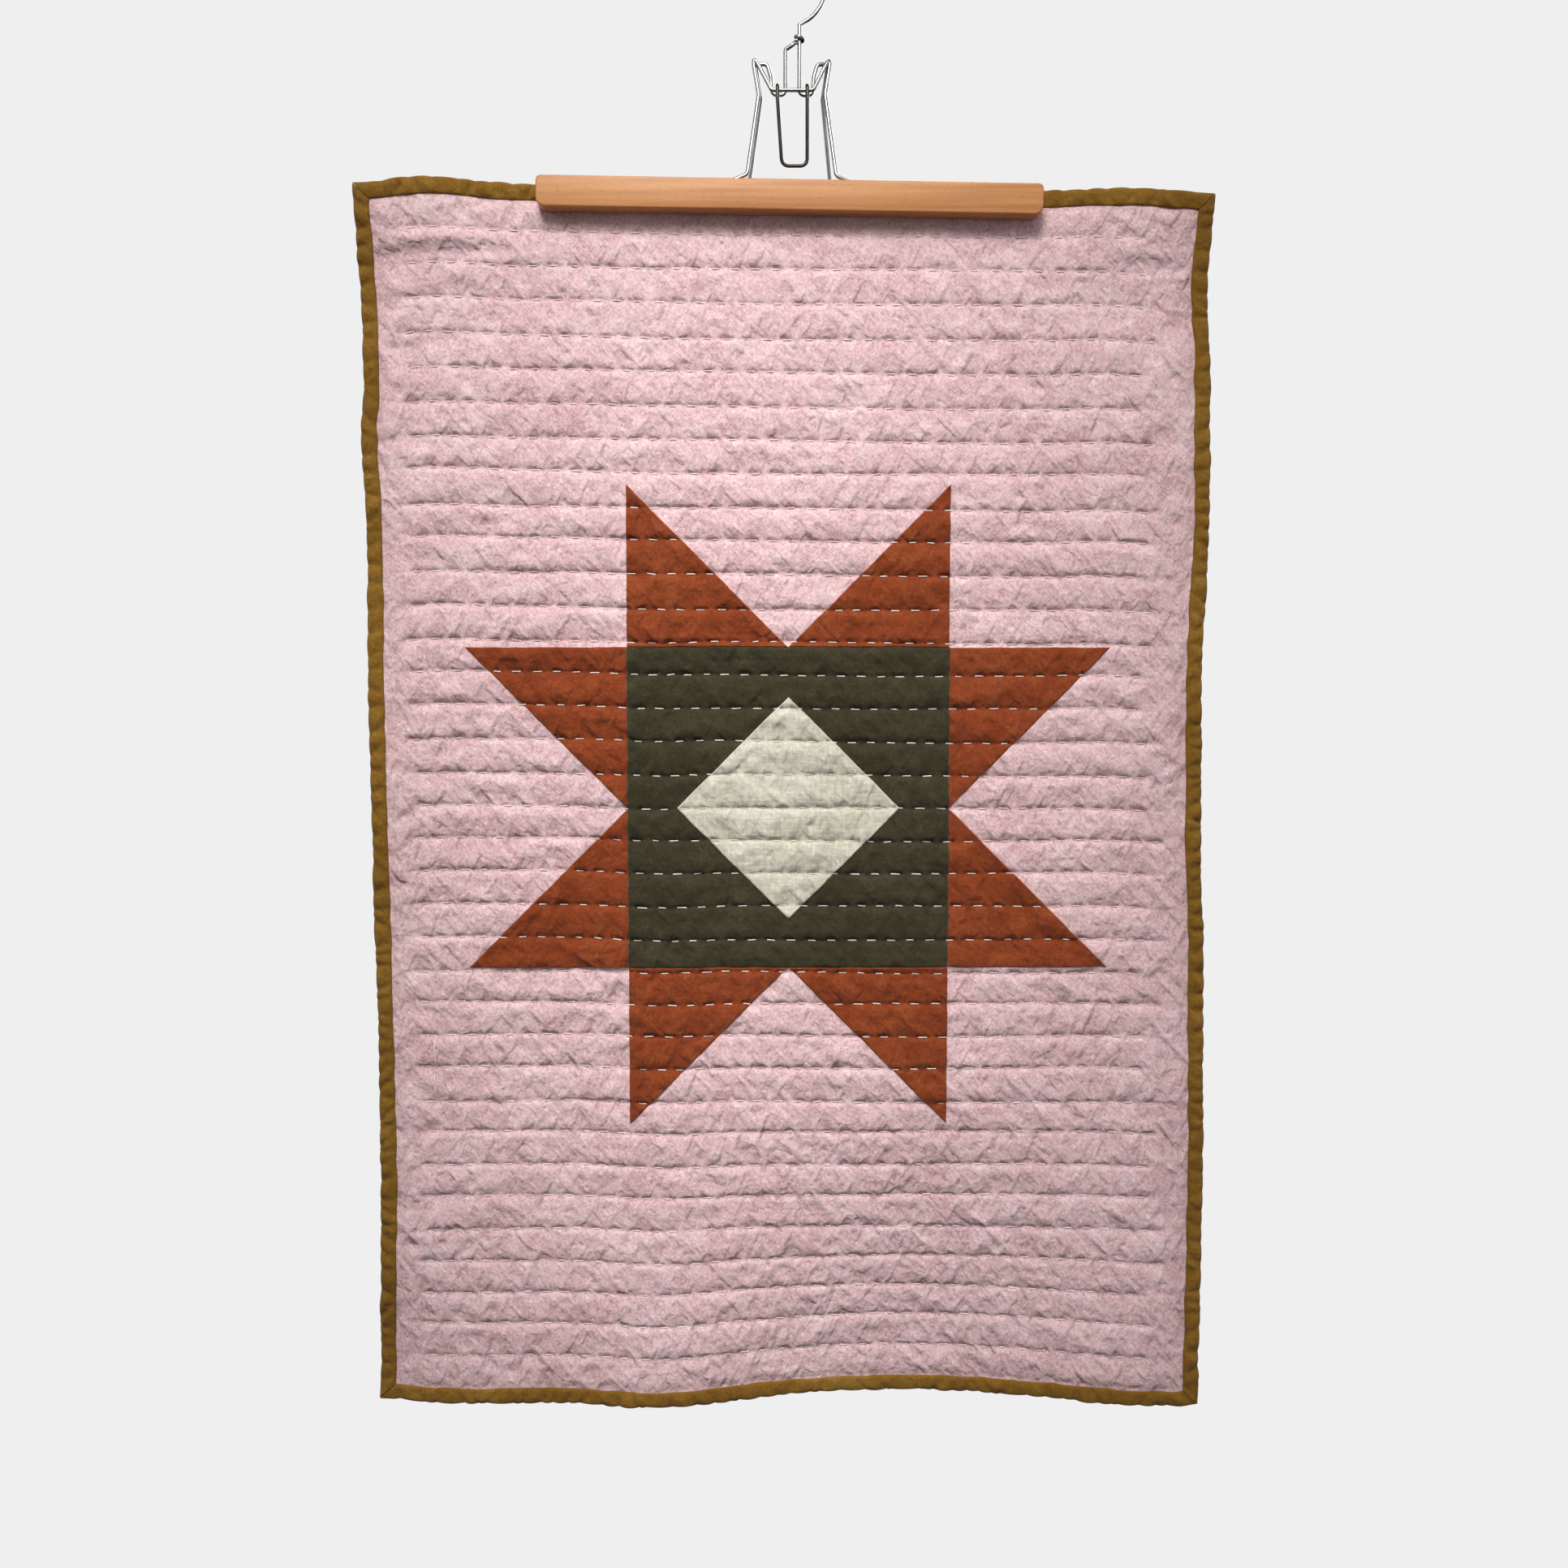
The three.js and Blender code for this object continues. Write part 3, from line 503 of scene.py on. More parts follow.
def settleFace(points, held, free):
    levels, columns, _ = points.shape
    piece = makePiece("settling", points * settling["enlarged"], gridFaces(levels, columns))
    piece.vertex_groups.new(name="held").add(np.nonzero(held.ravel())[0].tolist(), 1.0, "REPLACE")
    onlySelect(piece)
    cloth = piece.modifiers.new("Cloth", "CLOTH")
    for name, value in clothSettings.items():
        setattr(cloth.settings, name, value)
    cloth.settings.effector_weights.gravity = 0
    cloth.collision_settings.use_collision = False
    for step in range(1, settling["frames"] + 1):
        bpy.context.scene.frame_set(step)
    bpy.ops.object.modifier_apply(modifier="Cloth")
    settled = np.zeros(points.size)
    piece.data.vertices.foreach_get("co", settled)
    settled = settled.reshape(points.shape) / mm / settling["enlarged"]
    bpy.data.objects.remove(piece)
    bpy.context.scene.frame_set(1)
    moved = settled - points
    far = np.linalg.norm(moved, axis=-1, keepdims=True)
    return points + moved * free[..., None] * np.minimum(1, settling["mostMove"] / np.maximum(far, 1e-9))


# One face of the quilt as a grid of points that follows the rows of stitches
def quiltFace(side, columns, shares, marginSteps, stitches):
    cut = quilt["cutEdge"]
    across = np.linspace(cut, quilt["width"] - cut, columns)
    lines = [cut, *(rowDown(k, across) for k in range(rows["count"])), quilt["height"] - cut + 0 * across]
    margin = np.linspace(0, 1, marginSteps, endpoint=False)
    down = []
    for k, (here, following) in enumerate(zip(lines, lines[1:])):
        down += [here + (following - here) * t for t in (shares if 0 < k < rows["count"] else margin)]
    down = np.array([*down, lines[-1]])
    wide = np.broadcast_to(across, down.shape)
    height, toEdge, underBar = sewnHeight(side, wide, down, stitches)
    points = onCloth(wide, down, side * height)

    held = np.where((toEdge < quilt["bindingHolds"]) | (underBar > 0.9), 1.0, 0.0)
    levels = [marginSteps + k * len(shares) for k in range(rows["count"])]
    for level, sewn in zip(levels, stitches):
        for start, end, *_ in sewn:
            held[level, (across > start - 0.4) & (across < end + 0.4)] = 1.0
    loose = 1 - held[..., None]
    jitter = -side * settling["jitter"] * random.normal(size=wide.shape)
    points = points + loose * np.stack([0 * wide, jitter, 0 * wide], -1)
    order = slice(None) if side > 0 else slice(None, None, -1)
    free = ease(between(quilt["bindingHolds"], settling["freeFrom"], toEdge))
    points = settleFace(points[:, order], held[:, order], free[:, order])[:, order]
    smooth = points.copy()
    smooth[1:-1, 1:-1] = (4 * points[1:-1, 1:-1] + points[:-2, 1:-1] + points[2:, 1:-1]
                          + points[1:-1, :-2] + points[1:-1, 2:]) / 8
    points = np.where(held[..., None] > 0, points, smooth)

    # A level of points close above and below each row, for the furrow that each stitch lies in
    grid, fine = np.dstack([down, points]), []
    for i, line in enumerate(grid):
        for other in (grid[i - 1], line, grid[i + 1]) if i in levels else (line,):
            apart = np.abs(other[:, 0] - line[:, 0]).mean() or 1
            fine.append(line + (other - line) * stitching["dentInner"] / apart)
    down, points = np.split(np.array(fine), [1], axis=-1)
    down = down[..., 0]
    outwards = unit(side * np.cross(np.gradient(points, axis=1), -np.gradient(points, axis=0)))
    for k, sewn in enumerate(stitches):
        row = slice(levels[k] + 2 * k, levels[k] + 2 * k + 3)
        toStitch = outsideOf(sewn[:, :1], sewn[:, 1:2], across).min(0)
        pulled = stitching["dent"] * ease(between(1.3, 0.2, toStitch))
        points[row] -= outwards[row] * pulled[None, :, None]
    return {"side": side, "across": across, "down": down, "points": points, "normals": outwards}


# The face's point and normal at a place across and down
def onFace(face, across, down):
    columns, levels = len(face["across"]), len(face["down"])
    c = np.interp(across, face["across"], np.arange(columns))
    c0 = np.minimum(c.astype(int), columns - 2)
    c = c - c0
    lines = face["down"][:, c0] * (1 - c) + face["down"][:, c0 + 1] * c
    l0 = np.clip((lines <= down).sum(0) - 1, 0, levels - 2)
    pick = np.arange(len(down))
    t = between(lines[l0, pick], lines[l0 + 1, pick], down)
    c, t = c[:, None], t[:, None]
    found = []
    for grid in (face["points"], face["normals"]):
        upper = grid[l0, c0] * (1 - c) + grid[l0, c0 + 1] * c
        lower = grid[l0 + 1, c0] * (1 - c) + grid[l0 + 1, c0 + 1] * c
        found.append(upper * (1 - t) + lower * t)
    return found[0], unit(found[1])


# Closes a face into a padded half of the quilt, down to the cloth's middle, with a coarser inner side
def closeFace(name, face, material):
    points, down = face["points"], face["down"]
    levels, columns = down.shape
    inner = onCloth(np.broadcast_to(face["across"], down.shape), down, face["side"] * quilt["innerGap"])

    # The spots once round a block of the grid
    def around(top, bottom, left, right):
        return ([(top, c) for c in range(left, right)] + [(r, right) for r in range(top, bottom)]
                + [(bottom, c) for c in range(right, left, -1)] + [(r, left) for r in range(bottom, top, -1)])

    def stops(count, step):
        return [0, *range(3, count - 4, step), count - 4, count - 1]

    rim = around(0, levels - 1, 0, columns - 1)
    keptLevels, keptColumns = stops(levels, 6), stops(columns, 8)
    spots = rim + [(r, c) for r in keptLevels[1:-1] for c in keptColumns[1:-1]]
    number = {spot: levels * columns + i for i, spot in enumerate(spots)}
    faces = gridFaces(levels, columns)
    for a, b in zip(rim, rim[1:] + rim[:1]):
        faces.append([a[0] * columns + a[1], b[0] * columns + b[1], number[b], number[a]])
    # Each coarse cell inside takes in the spots of the rim that it touches
    for top, bottom in zip(keptLevels, keptLevels[1:]):
        for left, right in zip(keptColumns, keptColumns[1:]):
            faces.append([number[spot] for spot in around(top, bottom, left, right) if spot in number])
    piece = makePiece(name, [*points.reshape(-1, 3), *(inner[spot] for spot in spots)], faces, material)
    turnOutwards(piece)
    belong(piece, "quilt")
    return piece


near, far = stitching["dentOuter"] / rows["pitch"], 2.9 / rows["pitch"]
channelShares = [0, near, far, 0.30, 0.43, 0.57, 0.70, 1 - far, 1 - near]
frontFace = quiltFace(1, 212, channelShares, 12, frontStitches)
print("front settled")
backFace = quiltFace(-1, 150, np.linspace(0, 1, 6, endpoint=False), 8, backStitches)
print("back settled")
quiltTop = closeFace("quilt_top", frontFace, pinkCotton)
quiltBacking = closeFace("quilt_backing", backFace, pinkBacking)
print("quilt made", len(quiltTop.data.polygons), len(quiltBacking.data.polygons))


# The sewn-on star: thin patches with their edges turned under

star = {
    "square": 82, "middleX": 2, "middleZ": -429, "diamondHalf": 57, "gap": 0.03,
    "ringsIn": (0, 0.06, 0.2, 0.42, 0.8, 2.4, 5, 7.2),  # where the grid is cut, from the outline inwards
    "cloth": 0.4,  # one layer
    "turned": 0.85,  # the cloth with its edge turned under
    "hem": 6,  # how wide the turned edge is
    "rounded": 0.7,
    "proud": 0.05, "thinnest": 0.03,
}


# Height above what a patch lies on, so far in from its edge
def patchHeight(inward):
    nose = np.sqrt(1 - (1 - between(0, star["rounded"], inward)) ** 2)
    pastHem = ease(between(star["hem"] - 1, star["hem"] + 1.2, inward))
    full = star["turned"] + (star["cloth"] - star["turned"]) * pastHem
    return np.where(inward > 0, nose * full, 0)


def insideOutline(corners, x, z):
    following = np.roll(corners, -1, axis=0)
    away = []
    for (ax, az), (bx, bz) in zip(corners, following):
        away.append(((bx - ax) * (z - az) - (bz - az) * (x - ax)) / math.hypot(bx - ax, bz - az))
    return np.min(away, axis=0)


# A patch's outline, drawn in by the gap all round: each corner is how far right plus 1j times how far up,
# in squares of the star, and they run anticlockwise
def starOutline(corners):
    corners = np.array(corners) * star["square"] + complex(star["middleX"], star["middleZ"])
    corners = np.column_stack([corners.real, corners.imag])
    before, after = unit(np.roll(corners, 1, axis=0) - corners), unit(np.roll(corners, -1, axis=0) - corners)
    half = np.arccos((before * after).sum(1, keepdims=True)) / 2
    return corners + unit(before + after) * star["gap"] / np.sin(half)


starPoints = []
for turn in range(4):
    for corners in ((-1 + 2j, -1 + 1j, 1j), (1 + 2j, 1j, 1 + 1j)):
        starPoints.append(starOutline([corner * 1j ** turn for corner in corners]))
starSquare = starOutline((-1 - 1j, 1 - 1j, 1 + 1j, -1 + 1j))
tip = star["diamondHalf"] / star["square"]
starDiamond = starOutline((-tip * 1j, tip, tip * 1j, -tip))


# How much the patches lift the surface at x and z
def starLift(x, z, withDiamond=True):
    lift = patchHeight(insideOutline(starSquare, x, z))
    for outline in starPoints:
        lift = np.maximum(lift, patchHeight(insideOutline(outline, x, z)))
    if withDiamond:
        lift = lift + patchHeight(insideOutline(starDiamond, x, z))
    return lift


# A patch follows the quilt's own grid of points, cut along the patch's outline and close inside it
def patchPiece(name, outline, material, lies=None):
    down = frontFace["down"]
    flat = middleOfCloth(np.broadcast_to(frontFace["across"], down.shape), down)[..., [0, 2]]
    low, high = outline.min(0) - 4, outline.max(0) + 4
    near = ((flat > low) & (flat < high)).all(-1)
    near = np.ix_(near.any(1), near.any(0))
    levels, columns = flat[near].shape[:2]
    cut = bmesh.new()
    corners = [cut.verts.new((x, 0, z)) for x, z in flat[near].reshape(-1, 2)]
    for spots in gridFaces(levels, columns):
        cut.faces.new([corners[i] for i in spots])
    for start, end in zip(outline, np.roll(outline, -1, axis=0)):
        along = unit(end - start)
        inwards = np.array([-along[1], along[0]])
        for inward in star["ringsIn"]:
            spot = start + inwards * inward
            bmesh.ops.bisect_plane(
                cut, geom=[*cut.verts, *cut.edges, *cut.faces], dist=0.03, plane_co=(spot[0], 0, spot[1]),
                plane_no=(-inwards[0], 0, -inwards[1]), clear_outer=inward == 0)
    cut.verts.index_update()
    x, z = np.array([(v.co.x, v.co.z) for v in cut.verts]).T
    faces = [[v.index for v in face.verts] for face in cut.faces]
    rim = [[v.index for v in edge.verts] for edge in cut.edges if len(edge.link_faces) == 1]
    cut.free()

    top = patchHeight(np.maximum(insideOutline(outline, x, z), 0.004)) + star["proud"]
    bottom = np.minimum(top - star["thinnest"], star["proud"])
    base = lies(x, z) if lies else 0
    points, normals = onFace(frontFace, *clothUnder(x, z))
    layers = [points + normals * (base + height)[:, None] for height in (top, bottom)]
    total = len(x)
    faces += [[total + i for i in reversed(face)] for face in faces]
    faces += [[b, a, total + a, total + b] for a, b in rim]
    piece = makePiece(name, np.concatenate(layers), faces, material)
    turnOutwards(piece)
    return piece


def sewOn(piece, node):
    belong(piece, node)


for i, outline in enumerate(starPoints):
    piece = patchPiece(f"patch_point_{i + 1}", outline, rustCotton)
    sewOn(piece, f"star_point_{i + 1}")
starSquarePiece = patchPiece("patch_square", starSquare, oliveCotton)
sewOn(starSquarePiece, "star_centre")
starDiamondPiece = patchPiece(
    "patch_diamond", starDiamond, naturalLinen, lambda x, z: starLift(x, z, withDiamond=False))
sewOn(starDiamondPiece, "star_diamond")
print("star sewn on")


# The faces of a closed tube whose rings of points follow one another, from its first point on
def tubeFaces(rings, around, first=0):
    faces = []
    for start in range(first, first + (rings - 1) * around, around):
        for i in range(around):
            a, b = start + i, start + (i + 1) % around
            faces.append([a, a + around, b + around, b])
    last = first + (rings - 1) * around
    return [*faces, list(range(first, first + around)), list(reversed(range(last, last + around)))]


# The thread: one short capsule of thread for each stitch, joined into one mesh a side
def threadPiece(name, face, stitches, travels=()):
    radius = stitching["thread"] / 2
    over, sides = stitching["dent"] - stitching["sunk"], stitching["sides"]
    lies = np.array([-stitching["tuckedIn"], 0.6 * over, over, over, 0.6 * over, -stitching["tuckedIn"]])
    t = np.array([0, 0.1, 0.3, 0.7, 0.9, 1.0])
    paths = []
    for k, sewn in enumerate(stitches):
        for start, end, startOff, endOff in sewn:
            across = start + (end - start) * t
            paths.append(np.array([across, rowDown(k, across) + startOff + (endOff - startOff) * t, lies]))
    t = np.linspace(0, 1, 9)
    for k, across, drop, length in travels:
        down = rowDown(k, np.array(float(across))) + drop + length * t
        paths.append(np.array([across + 0.5 * t, down, 0.18 - 0.6 * (np.abs(2 * t - 1) > 0.99)]))
    across, down, proud = np.concatenate(paths, axis=1)
    points, normals = onFace(face, across, down)
    if face["side"] > 0:
        middle = middleOfCloth(across, down)
        proud = proud + starLift(middle[:, 0], middle[:, 2])
    centres = points + normals * proud[:, None]
    vertices, faces, first = [], [], 0
    for path in paths:
        count = path.shape[1]
        line, normal = centres[first:first + count], normals[first:first + count]
        ahead = unit(np.gradient(line, axis=0))
        sideways = unit(np.cross(ahead, normal))
        outwards = np.cross(sideways, ahead)
        ring = []
        for i in range(sides):
            angle = 2 * math.pi * (i + 0.5) / sides
            ring.append(line + radius * (math.cos(angle) * sideways + 0.85 * math.sin(angle) * outwards))
        vertices.append(np.stack(ring, 1).reshape(-1, 3))
        faces += tubeFaces(count, sides, first * sides)
        first += count
    piece = makePiece(name, np.concatenate(vertices), faces, sewingThread)
    belong(piece)
    return piece


# Where the thread goes down to the next row on the outside: row, place across, drop below it, length
threadTravels = ((17, 28.5, 3.6, 10.2), (18, 28.2, 2.8, 11.0), (19, 27.8, 3.0, 11.0),
                 (24, 29.3, 3.0, 12.6), (25, 29.0, 3.4, 11.2), (7, 397, 5.5, 6.0))
threadFront = threadPiece("quilting_thread_front", frontFace, frontStitches, threadTravels)
threadBack = threadPiece("quilting_thread_back", backFace, backStitches)
print("stitches made", len(threadFront.data.polygons), len(threadBack.data.polygons))


# The binding: a folded strip round each edge, with mitred ends and small creases across it

binding = {
    "miter": 0.2, "miterReach": 13.0,  # how far along the strip the mitre's slant is spread
    "spacing": 1.15, "ripple": 0.25,
    "firstCrease": 4.0, "leastApart": 4.5, "apartVaries": 8,
    "puff": 1.3, "thicker": 0.3,  # how far the strip bends between two creases across it, and puffs up there
    "edgeFollows": 0.04,  # the outer edge moves out by this share of a puff
    "lipWobble": 0.45, "edgeWobble": 0.45,
    "calmLip": 0.8,  # how much less the lip ripples, so that it stays on the cloth
    "calmEnds": 10,
}
# The strip's section, from its front lip round the fold to its back lip, and back along the inside
frontSection = ((8.0, 1.12), (8.25, 1.2), (8.3, 1.38), (8.16, 1.66), (7.9, 1.95), (7.5, 2.18), (6.8, 2.32),
                (4.8, 2.4), (3.1, 2.34), (1.9, 2.16), (1.0, 1.8), (0.4, 1.25), (0.1, 0.62))
insideSection = ((6.8, -1.12), (3.6, -1.25), (1.8, -1.15), (1.35, -0.6))
bindingSection = (*frontSection, (0.0, 0.0), *((a, -b) for a, b in reversed(frontSection)),
                  *insideSection, *((a, -b) for a, b in reversed(insideSection)))


def bindingPiece(name, length, toCloth, seed):
    stations = np.linspace(0, length, int(length / binding["spacing"]) + 1)
    inward, proud = np.array(bindingSection).T
    s, inward0 = np.meshgrid(stations, inward, indexing="ij")
    proud = np.broadcast_to(proud, s.shape)
    fromStart = 1 - between(0, binding["miterReach"], s)
    fromEnd = 1 - between(0, binding["miterReach"], length - s)
    along = s + (inward0 + binding["miter"]) * (fromStart - fromEnd)
    outer = np.arange(len(inward)) < len(inward) - 2 * len(insideSection)
    # Creases across the strip, each at its own place and slant, with a puff of cloth between two
    at, creased = binding["firstCrease"], []
    while at < length - binding["firstCrease"]:
        creased.append((at, 0.5 * random.normal(), 0.6 + 0.7 * random.random()))
        at += binding["leastApart"] + binding["apartVaries"] * random.random()
    puffed = 0 * along
    for (place, slant, puff), (nextPlace, nextSlant, _) in zip(creased, creased[1:]):
        start = place + slant * (inward0 - 4)
        apart = np.maximum(nextPlace + nextSlant * (inward0 - 4) - start, 1)
        share = (along - start) / apart
        rise = (4 * share * (1 - share) - 0.5) * binding["puff"] * puff * np.minimum(apart / 8, 1.2)
        puffed = puffed + np.where((share > 0) & (share < 1), rise, 0)
    calm = np.minimum(between(0, binding["calmEnds"], s), between(0, binding["calmEnds"], length - s))
    calmLip = 1 - binding["calmLip"] * between(5, 7.8, inward0)
    ripple = binding["ripple"] * drift(along, inward0, 9, seed, 6) + binding["thicker"] * puffed
    thicker = np.sign(proud) * np.minimum(np.abs(proud) / 1.5, 1) * ripple
    proud = proud + np.where(outer, (thicker + puffed * calm) * calmLip, 0)
    lipDrift = binding["lipWobble"] * drift(along, 0 * along, 9, seed + 3)
    edgeDrift = binding["edgeWobble"] * drift(along, 0 * along, 12, seed + 6)
    lip = between(6, 8, inward0) * outer * calm * lipDrift
    nose = (1 - between(0, 3, inward0)) * calm * edgeDrift
    follows = binding["edgeFollows"] * puffed * calm * (1 - between(0, 4, inward0))
    rings = onCloth(*toCloth(along, inward0 + lip + nose - follows), proud)
    piece = makePiece(name, rings, tubeFaces(len(stations), len(inward)), mustardCotton)
    turnOutwards(piece)
    belong(piece, name.replace("folded_", ""))


wide, high = quilt["width"], quilt["height"]
bindingPiece("folded_binding_top", wide, lambda along, inward: (along, inward), 41)
bindingPiece("folded_binding_bottom", wide, lambda along, inward: (along, high - inward), 42)
bindingPiece("folded_binding_left", high, lambda along, inward: (inward, along), 43)
bindingPiece("folded_binding_right", high, lambda along, inward: (wide - inward, along), 44)
print("binding made")


# The hanger's bars, drilled for the wire's feet

barPlace = (Matrix.Translation((bar["middleX"] * mm, 0, bar["topZ"] * mm))
            @ Matrix.Rotation(bar["tilt"], 4, "Y"))


# A point of a bar's own length, depth and height, in millimetres, put where the tilted bar is
def onBar(along, y, up):
    return np.array(barPlace @ Vector((along * mm, y * mm, up * mm))) / mm


frames = {
    "stemX": 7.4, "neckZ": -39, "uprightX": 0.5, "uprightTopZ": -51,
    "collarZ": -46.2, "collarTall": 2.6, "collarTurns": 1.08,
    "turnZ": -73, "turnOut": 6.6, "riseLean": 0.7, "riseZ": -64,
    "shoulderOut": 2.5, "shoulderZ": -57.9, "shoulderY": 0.4,
    "rearEarZ": -57.6, "rearEarIn": 1.8, "frontEarZ": -53,
    "rodZ": -72.2, "rodY": -4.7, "rodLeftX": -6.4, "rodRightX": 14.2,
    "earY": 1.2, "leftEarX": -16.2, "rightEarX": 23.5,
    "waistZ": -74, "waistOut": 2, "rearWaistIn": 4.4, "frontWaistIn": 3.4,
    "footZ": 3.4, "footLong": 19, "footDrop": 8,
}
barMiddleY = bar["faceY"] + bar["deep"] / 2


# The foot of a leg: the bend above the bar and the end in its slanting hole
def footOf(side, direction, along):
    y = side * barMiddleY
    return (onBar(along, y, frames["footZ"]),
            onBar(along + direction * frames["footLong"], y, frames["footZ"] - frames["footDrop"]))


feet = {
    "frontLeft": footOf(-1, -1, -21.2), "frontRight": footOf(-1, 1, 22.8),
    "rearLeft": footOf(1, -1, -20.5), "rearRight": footOf(1, 1, 20.6),
}


# Rounds over the edges across the bar's depth at a height, or those round its front and back without one
def roundOver(piece, radius, segments, height=None):
    mesh = bmesh.from_edit_mesh(piece.data)
    for part in (*mesh.verts, *mesh.edges, *mesh.faces):
        part.select_set(False)
    for edge in mesh.edges:
        one, other = (v.co for v in edge.verts)
        crosses = abs(one.y - other.y) > 1e-6
        if crosses == (height is not None) and (not crosses or abs(one.z - height * mm) < 1e-5):
            edge.select_set(True)
    bmesh.update_edit_mesh(piece.data)
    bpy.ops.mesh.bevel(offset=radius * mm, segments=segments, affect="EDGES")


def barPiece(name, side, node, drilledFor):
    bpy.ops.object.select_all(action="DESELECT")
    bpy.ops.mesh.primitive_cube_add(size=1)
    piece = bpy.context.active_object
    piece.name = piece.data.name = name
    piece.data.transform(Matrix.Translation((0, side * barMiddleY * mm, -bar["tall"] / 2 * mm))
                         @ Matrix.Diagonal((bar["length"] * mm, bar["deep"] * mm, bar["tall"] * mm, 1)))
    bpy.ops.object.mode_set(mode="EDIT")
    bpy.ops.mesh.select_mode(type="EDGE")
    roundOver(piece, bar["topRadius"], 6, 0)
    roundOver(piece, bar["bottomRadius"], 8, -bar["tall"])
    roundOver(piece, bar["edgeRound"], 4)
    bpy.ops.object.mode_set(mode="OBJECT")
    piece.data.transform(barPlace)
    for bend, end in drilledFor:
        reach = Vector(end - bend).normalized()
        bottom = Vector(end) + reach * bar["drillPast"]
        top = Vector(bend) - reach * bar["drillFrom"]
        bpy.ops.mesh.primitive_cylinder_add(
            vertices=24, radius=bar["drill"] * mm, depth=(top - bottom).length * mm,
            location=(top + bottom) / 2 * mm, rotation=reach.to_track_quat("Z", "Y").to_euler())
        drill = bpy.context.active_object
        cut = piece.modifiers.new("hole", "BOOLEAN")
        cut.object, cut.operation, cut.solver = drill, "DIFFERENCE", "EXACT"
        onlySelect(piece)
        bpy.ops.object.modifier_apply(modifier="hole")
        bpy.data.objects.remove(drill)
    piece.data.materials.clear()
    piece.data.materials.append(beech)
    onlySelect(piece)
    bpy.ops.object.shade_smooth_by_angle(angle=math.radians(35))
    belong(piece, node)


barPiece("clamp_bar_front", -1, "front_bar", (feet["frontLeft"], feet["frontRight"]))
barPiece("clamp_bar_back", 1, "back_bar", (feet["rearLeft"], feet["rearRight"]))
print("bars drilled")


# The hanger's bent wires

wire = {
    "radius": 1.0, "loopRadius": 0.9, "grip": 0.15, "clearance": 0.3,
    "bendSteps": 8, "bendTakes": 0.48,  # at most this share of the straight beside it
    "tip": ((-0.93, 1.0), (-0.58, 0.93), (-0.23, 0.71), (0.0, 0.36)),  # its rounded end, in radii
}
hook = {"radius": 20.6, "tipAngle": 198, "neckAngle": -54, "steps": 44}


# Rounds the corners of a bent wire: each corner is a point and its bend radius
def bend(corners):
    points = [np.array(c[:3], float) for c in corners]
    line = [points[0]]
    for i in range(1, len(points) - 1):
        if corners[i][3] == 0:
            line.append(points[i])
            continue
        back, on = points[i - 1] - points[i], points[i + 1] - points[i]
        room = min(np.linalg.norm(back), np.linalg.norm(on)) * wire["bendTakes"]
        back, on = unit(back), unit(on)
        half = math.acos(np.clip(back @ on, -1, 1)) / 2
        reach = min(corners[i][3] / math.tan(half), room)
        start, end = points[i] + back * reach, points[i] + on * reach
        for t in np.linspace(0, 1, wire["bendSteps"] + 1):
            line.append(start * (1 - t) ** 2 + points[i] * 2 * t * (1 - t) + end * t * t)
    line.append(points[-1])
    return np.array(line)


# A round wire along each line, with its ends rounded over
def wirePiece(name, lines, radius, node, material):
    shape = bpy.data.curves.new(name, "CURVE")
    shape.dimensions = "3D"
    shape.bevel_depth = radius * mm
    shape.bevel_resolution = 5
    shape.use_fill_caps = True
    for line in lines:
        apart = np.r_[True, np.linalg.norm(np.diff(line, axis=0), axis=1) > 0.02]
        line = line[apart]
        first, last = unit(line[0] - line[1]), unit(line[-1] - line[-2])
        before = [(line[0] + first * reach * radius, size) for reach, size in reversed(wire["tip"])]
        after = [(line[-1] + last * reach * radius, size) for reach, size in wire["tip"]]
        stations = before + [(point, 1.0) for point in line[1:-1]] + after
        spline = shape.splines.new("POLY")
        spline.points.add(len(stations) - 1)
        for spot, (point, size) in zip(spline.points, stations):
            spot.co = (*(np.array(point) * mm), 1)
            spot.radius = size
    onlySelect(newObject(name, shape))
    bpy.ops.object.convert(target="MESH")
    piece = bpy.context.active_object
    piece.name = piece.data.name = name
    piece.data.materials.append(material)
    piece.data.shade_smooth()
    belong(piece, node)


# From an upright's turn, out to one side, over the shoulder to the ear and down to the foot
def rearSide(x, out, earX, foot):
    f = frames
    half = f["turnOut"] / 2
    return [
        (x, 0, f["turnZ"], half),
        (x + out * f["turnOut"], 0, f["turnZ"], half),
        (x + out * (f["turnOut"] + f["riseLean"]), 0, f["riseZ"], 4),
        (x + out * (f["turnOut"] + f["shoulderOut"]), f["shoulderY"], f["shoulderZ"], 2.5),
        (earX - out * f["rearEarIn"], f["earY"], f["rearEarZ"], 1.6),
        (earX - out * f["rearWaistIn"], f["earY"] + f["waistOut"], f["waistZ"], 6),
        (*foot[0], 3), (*foot[1], 0),
    ]


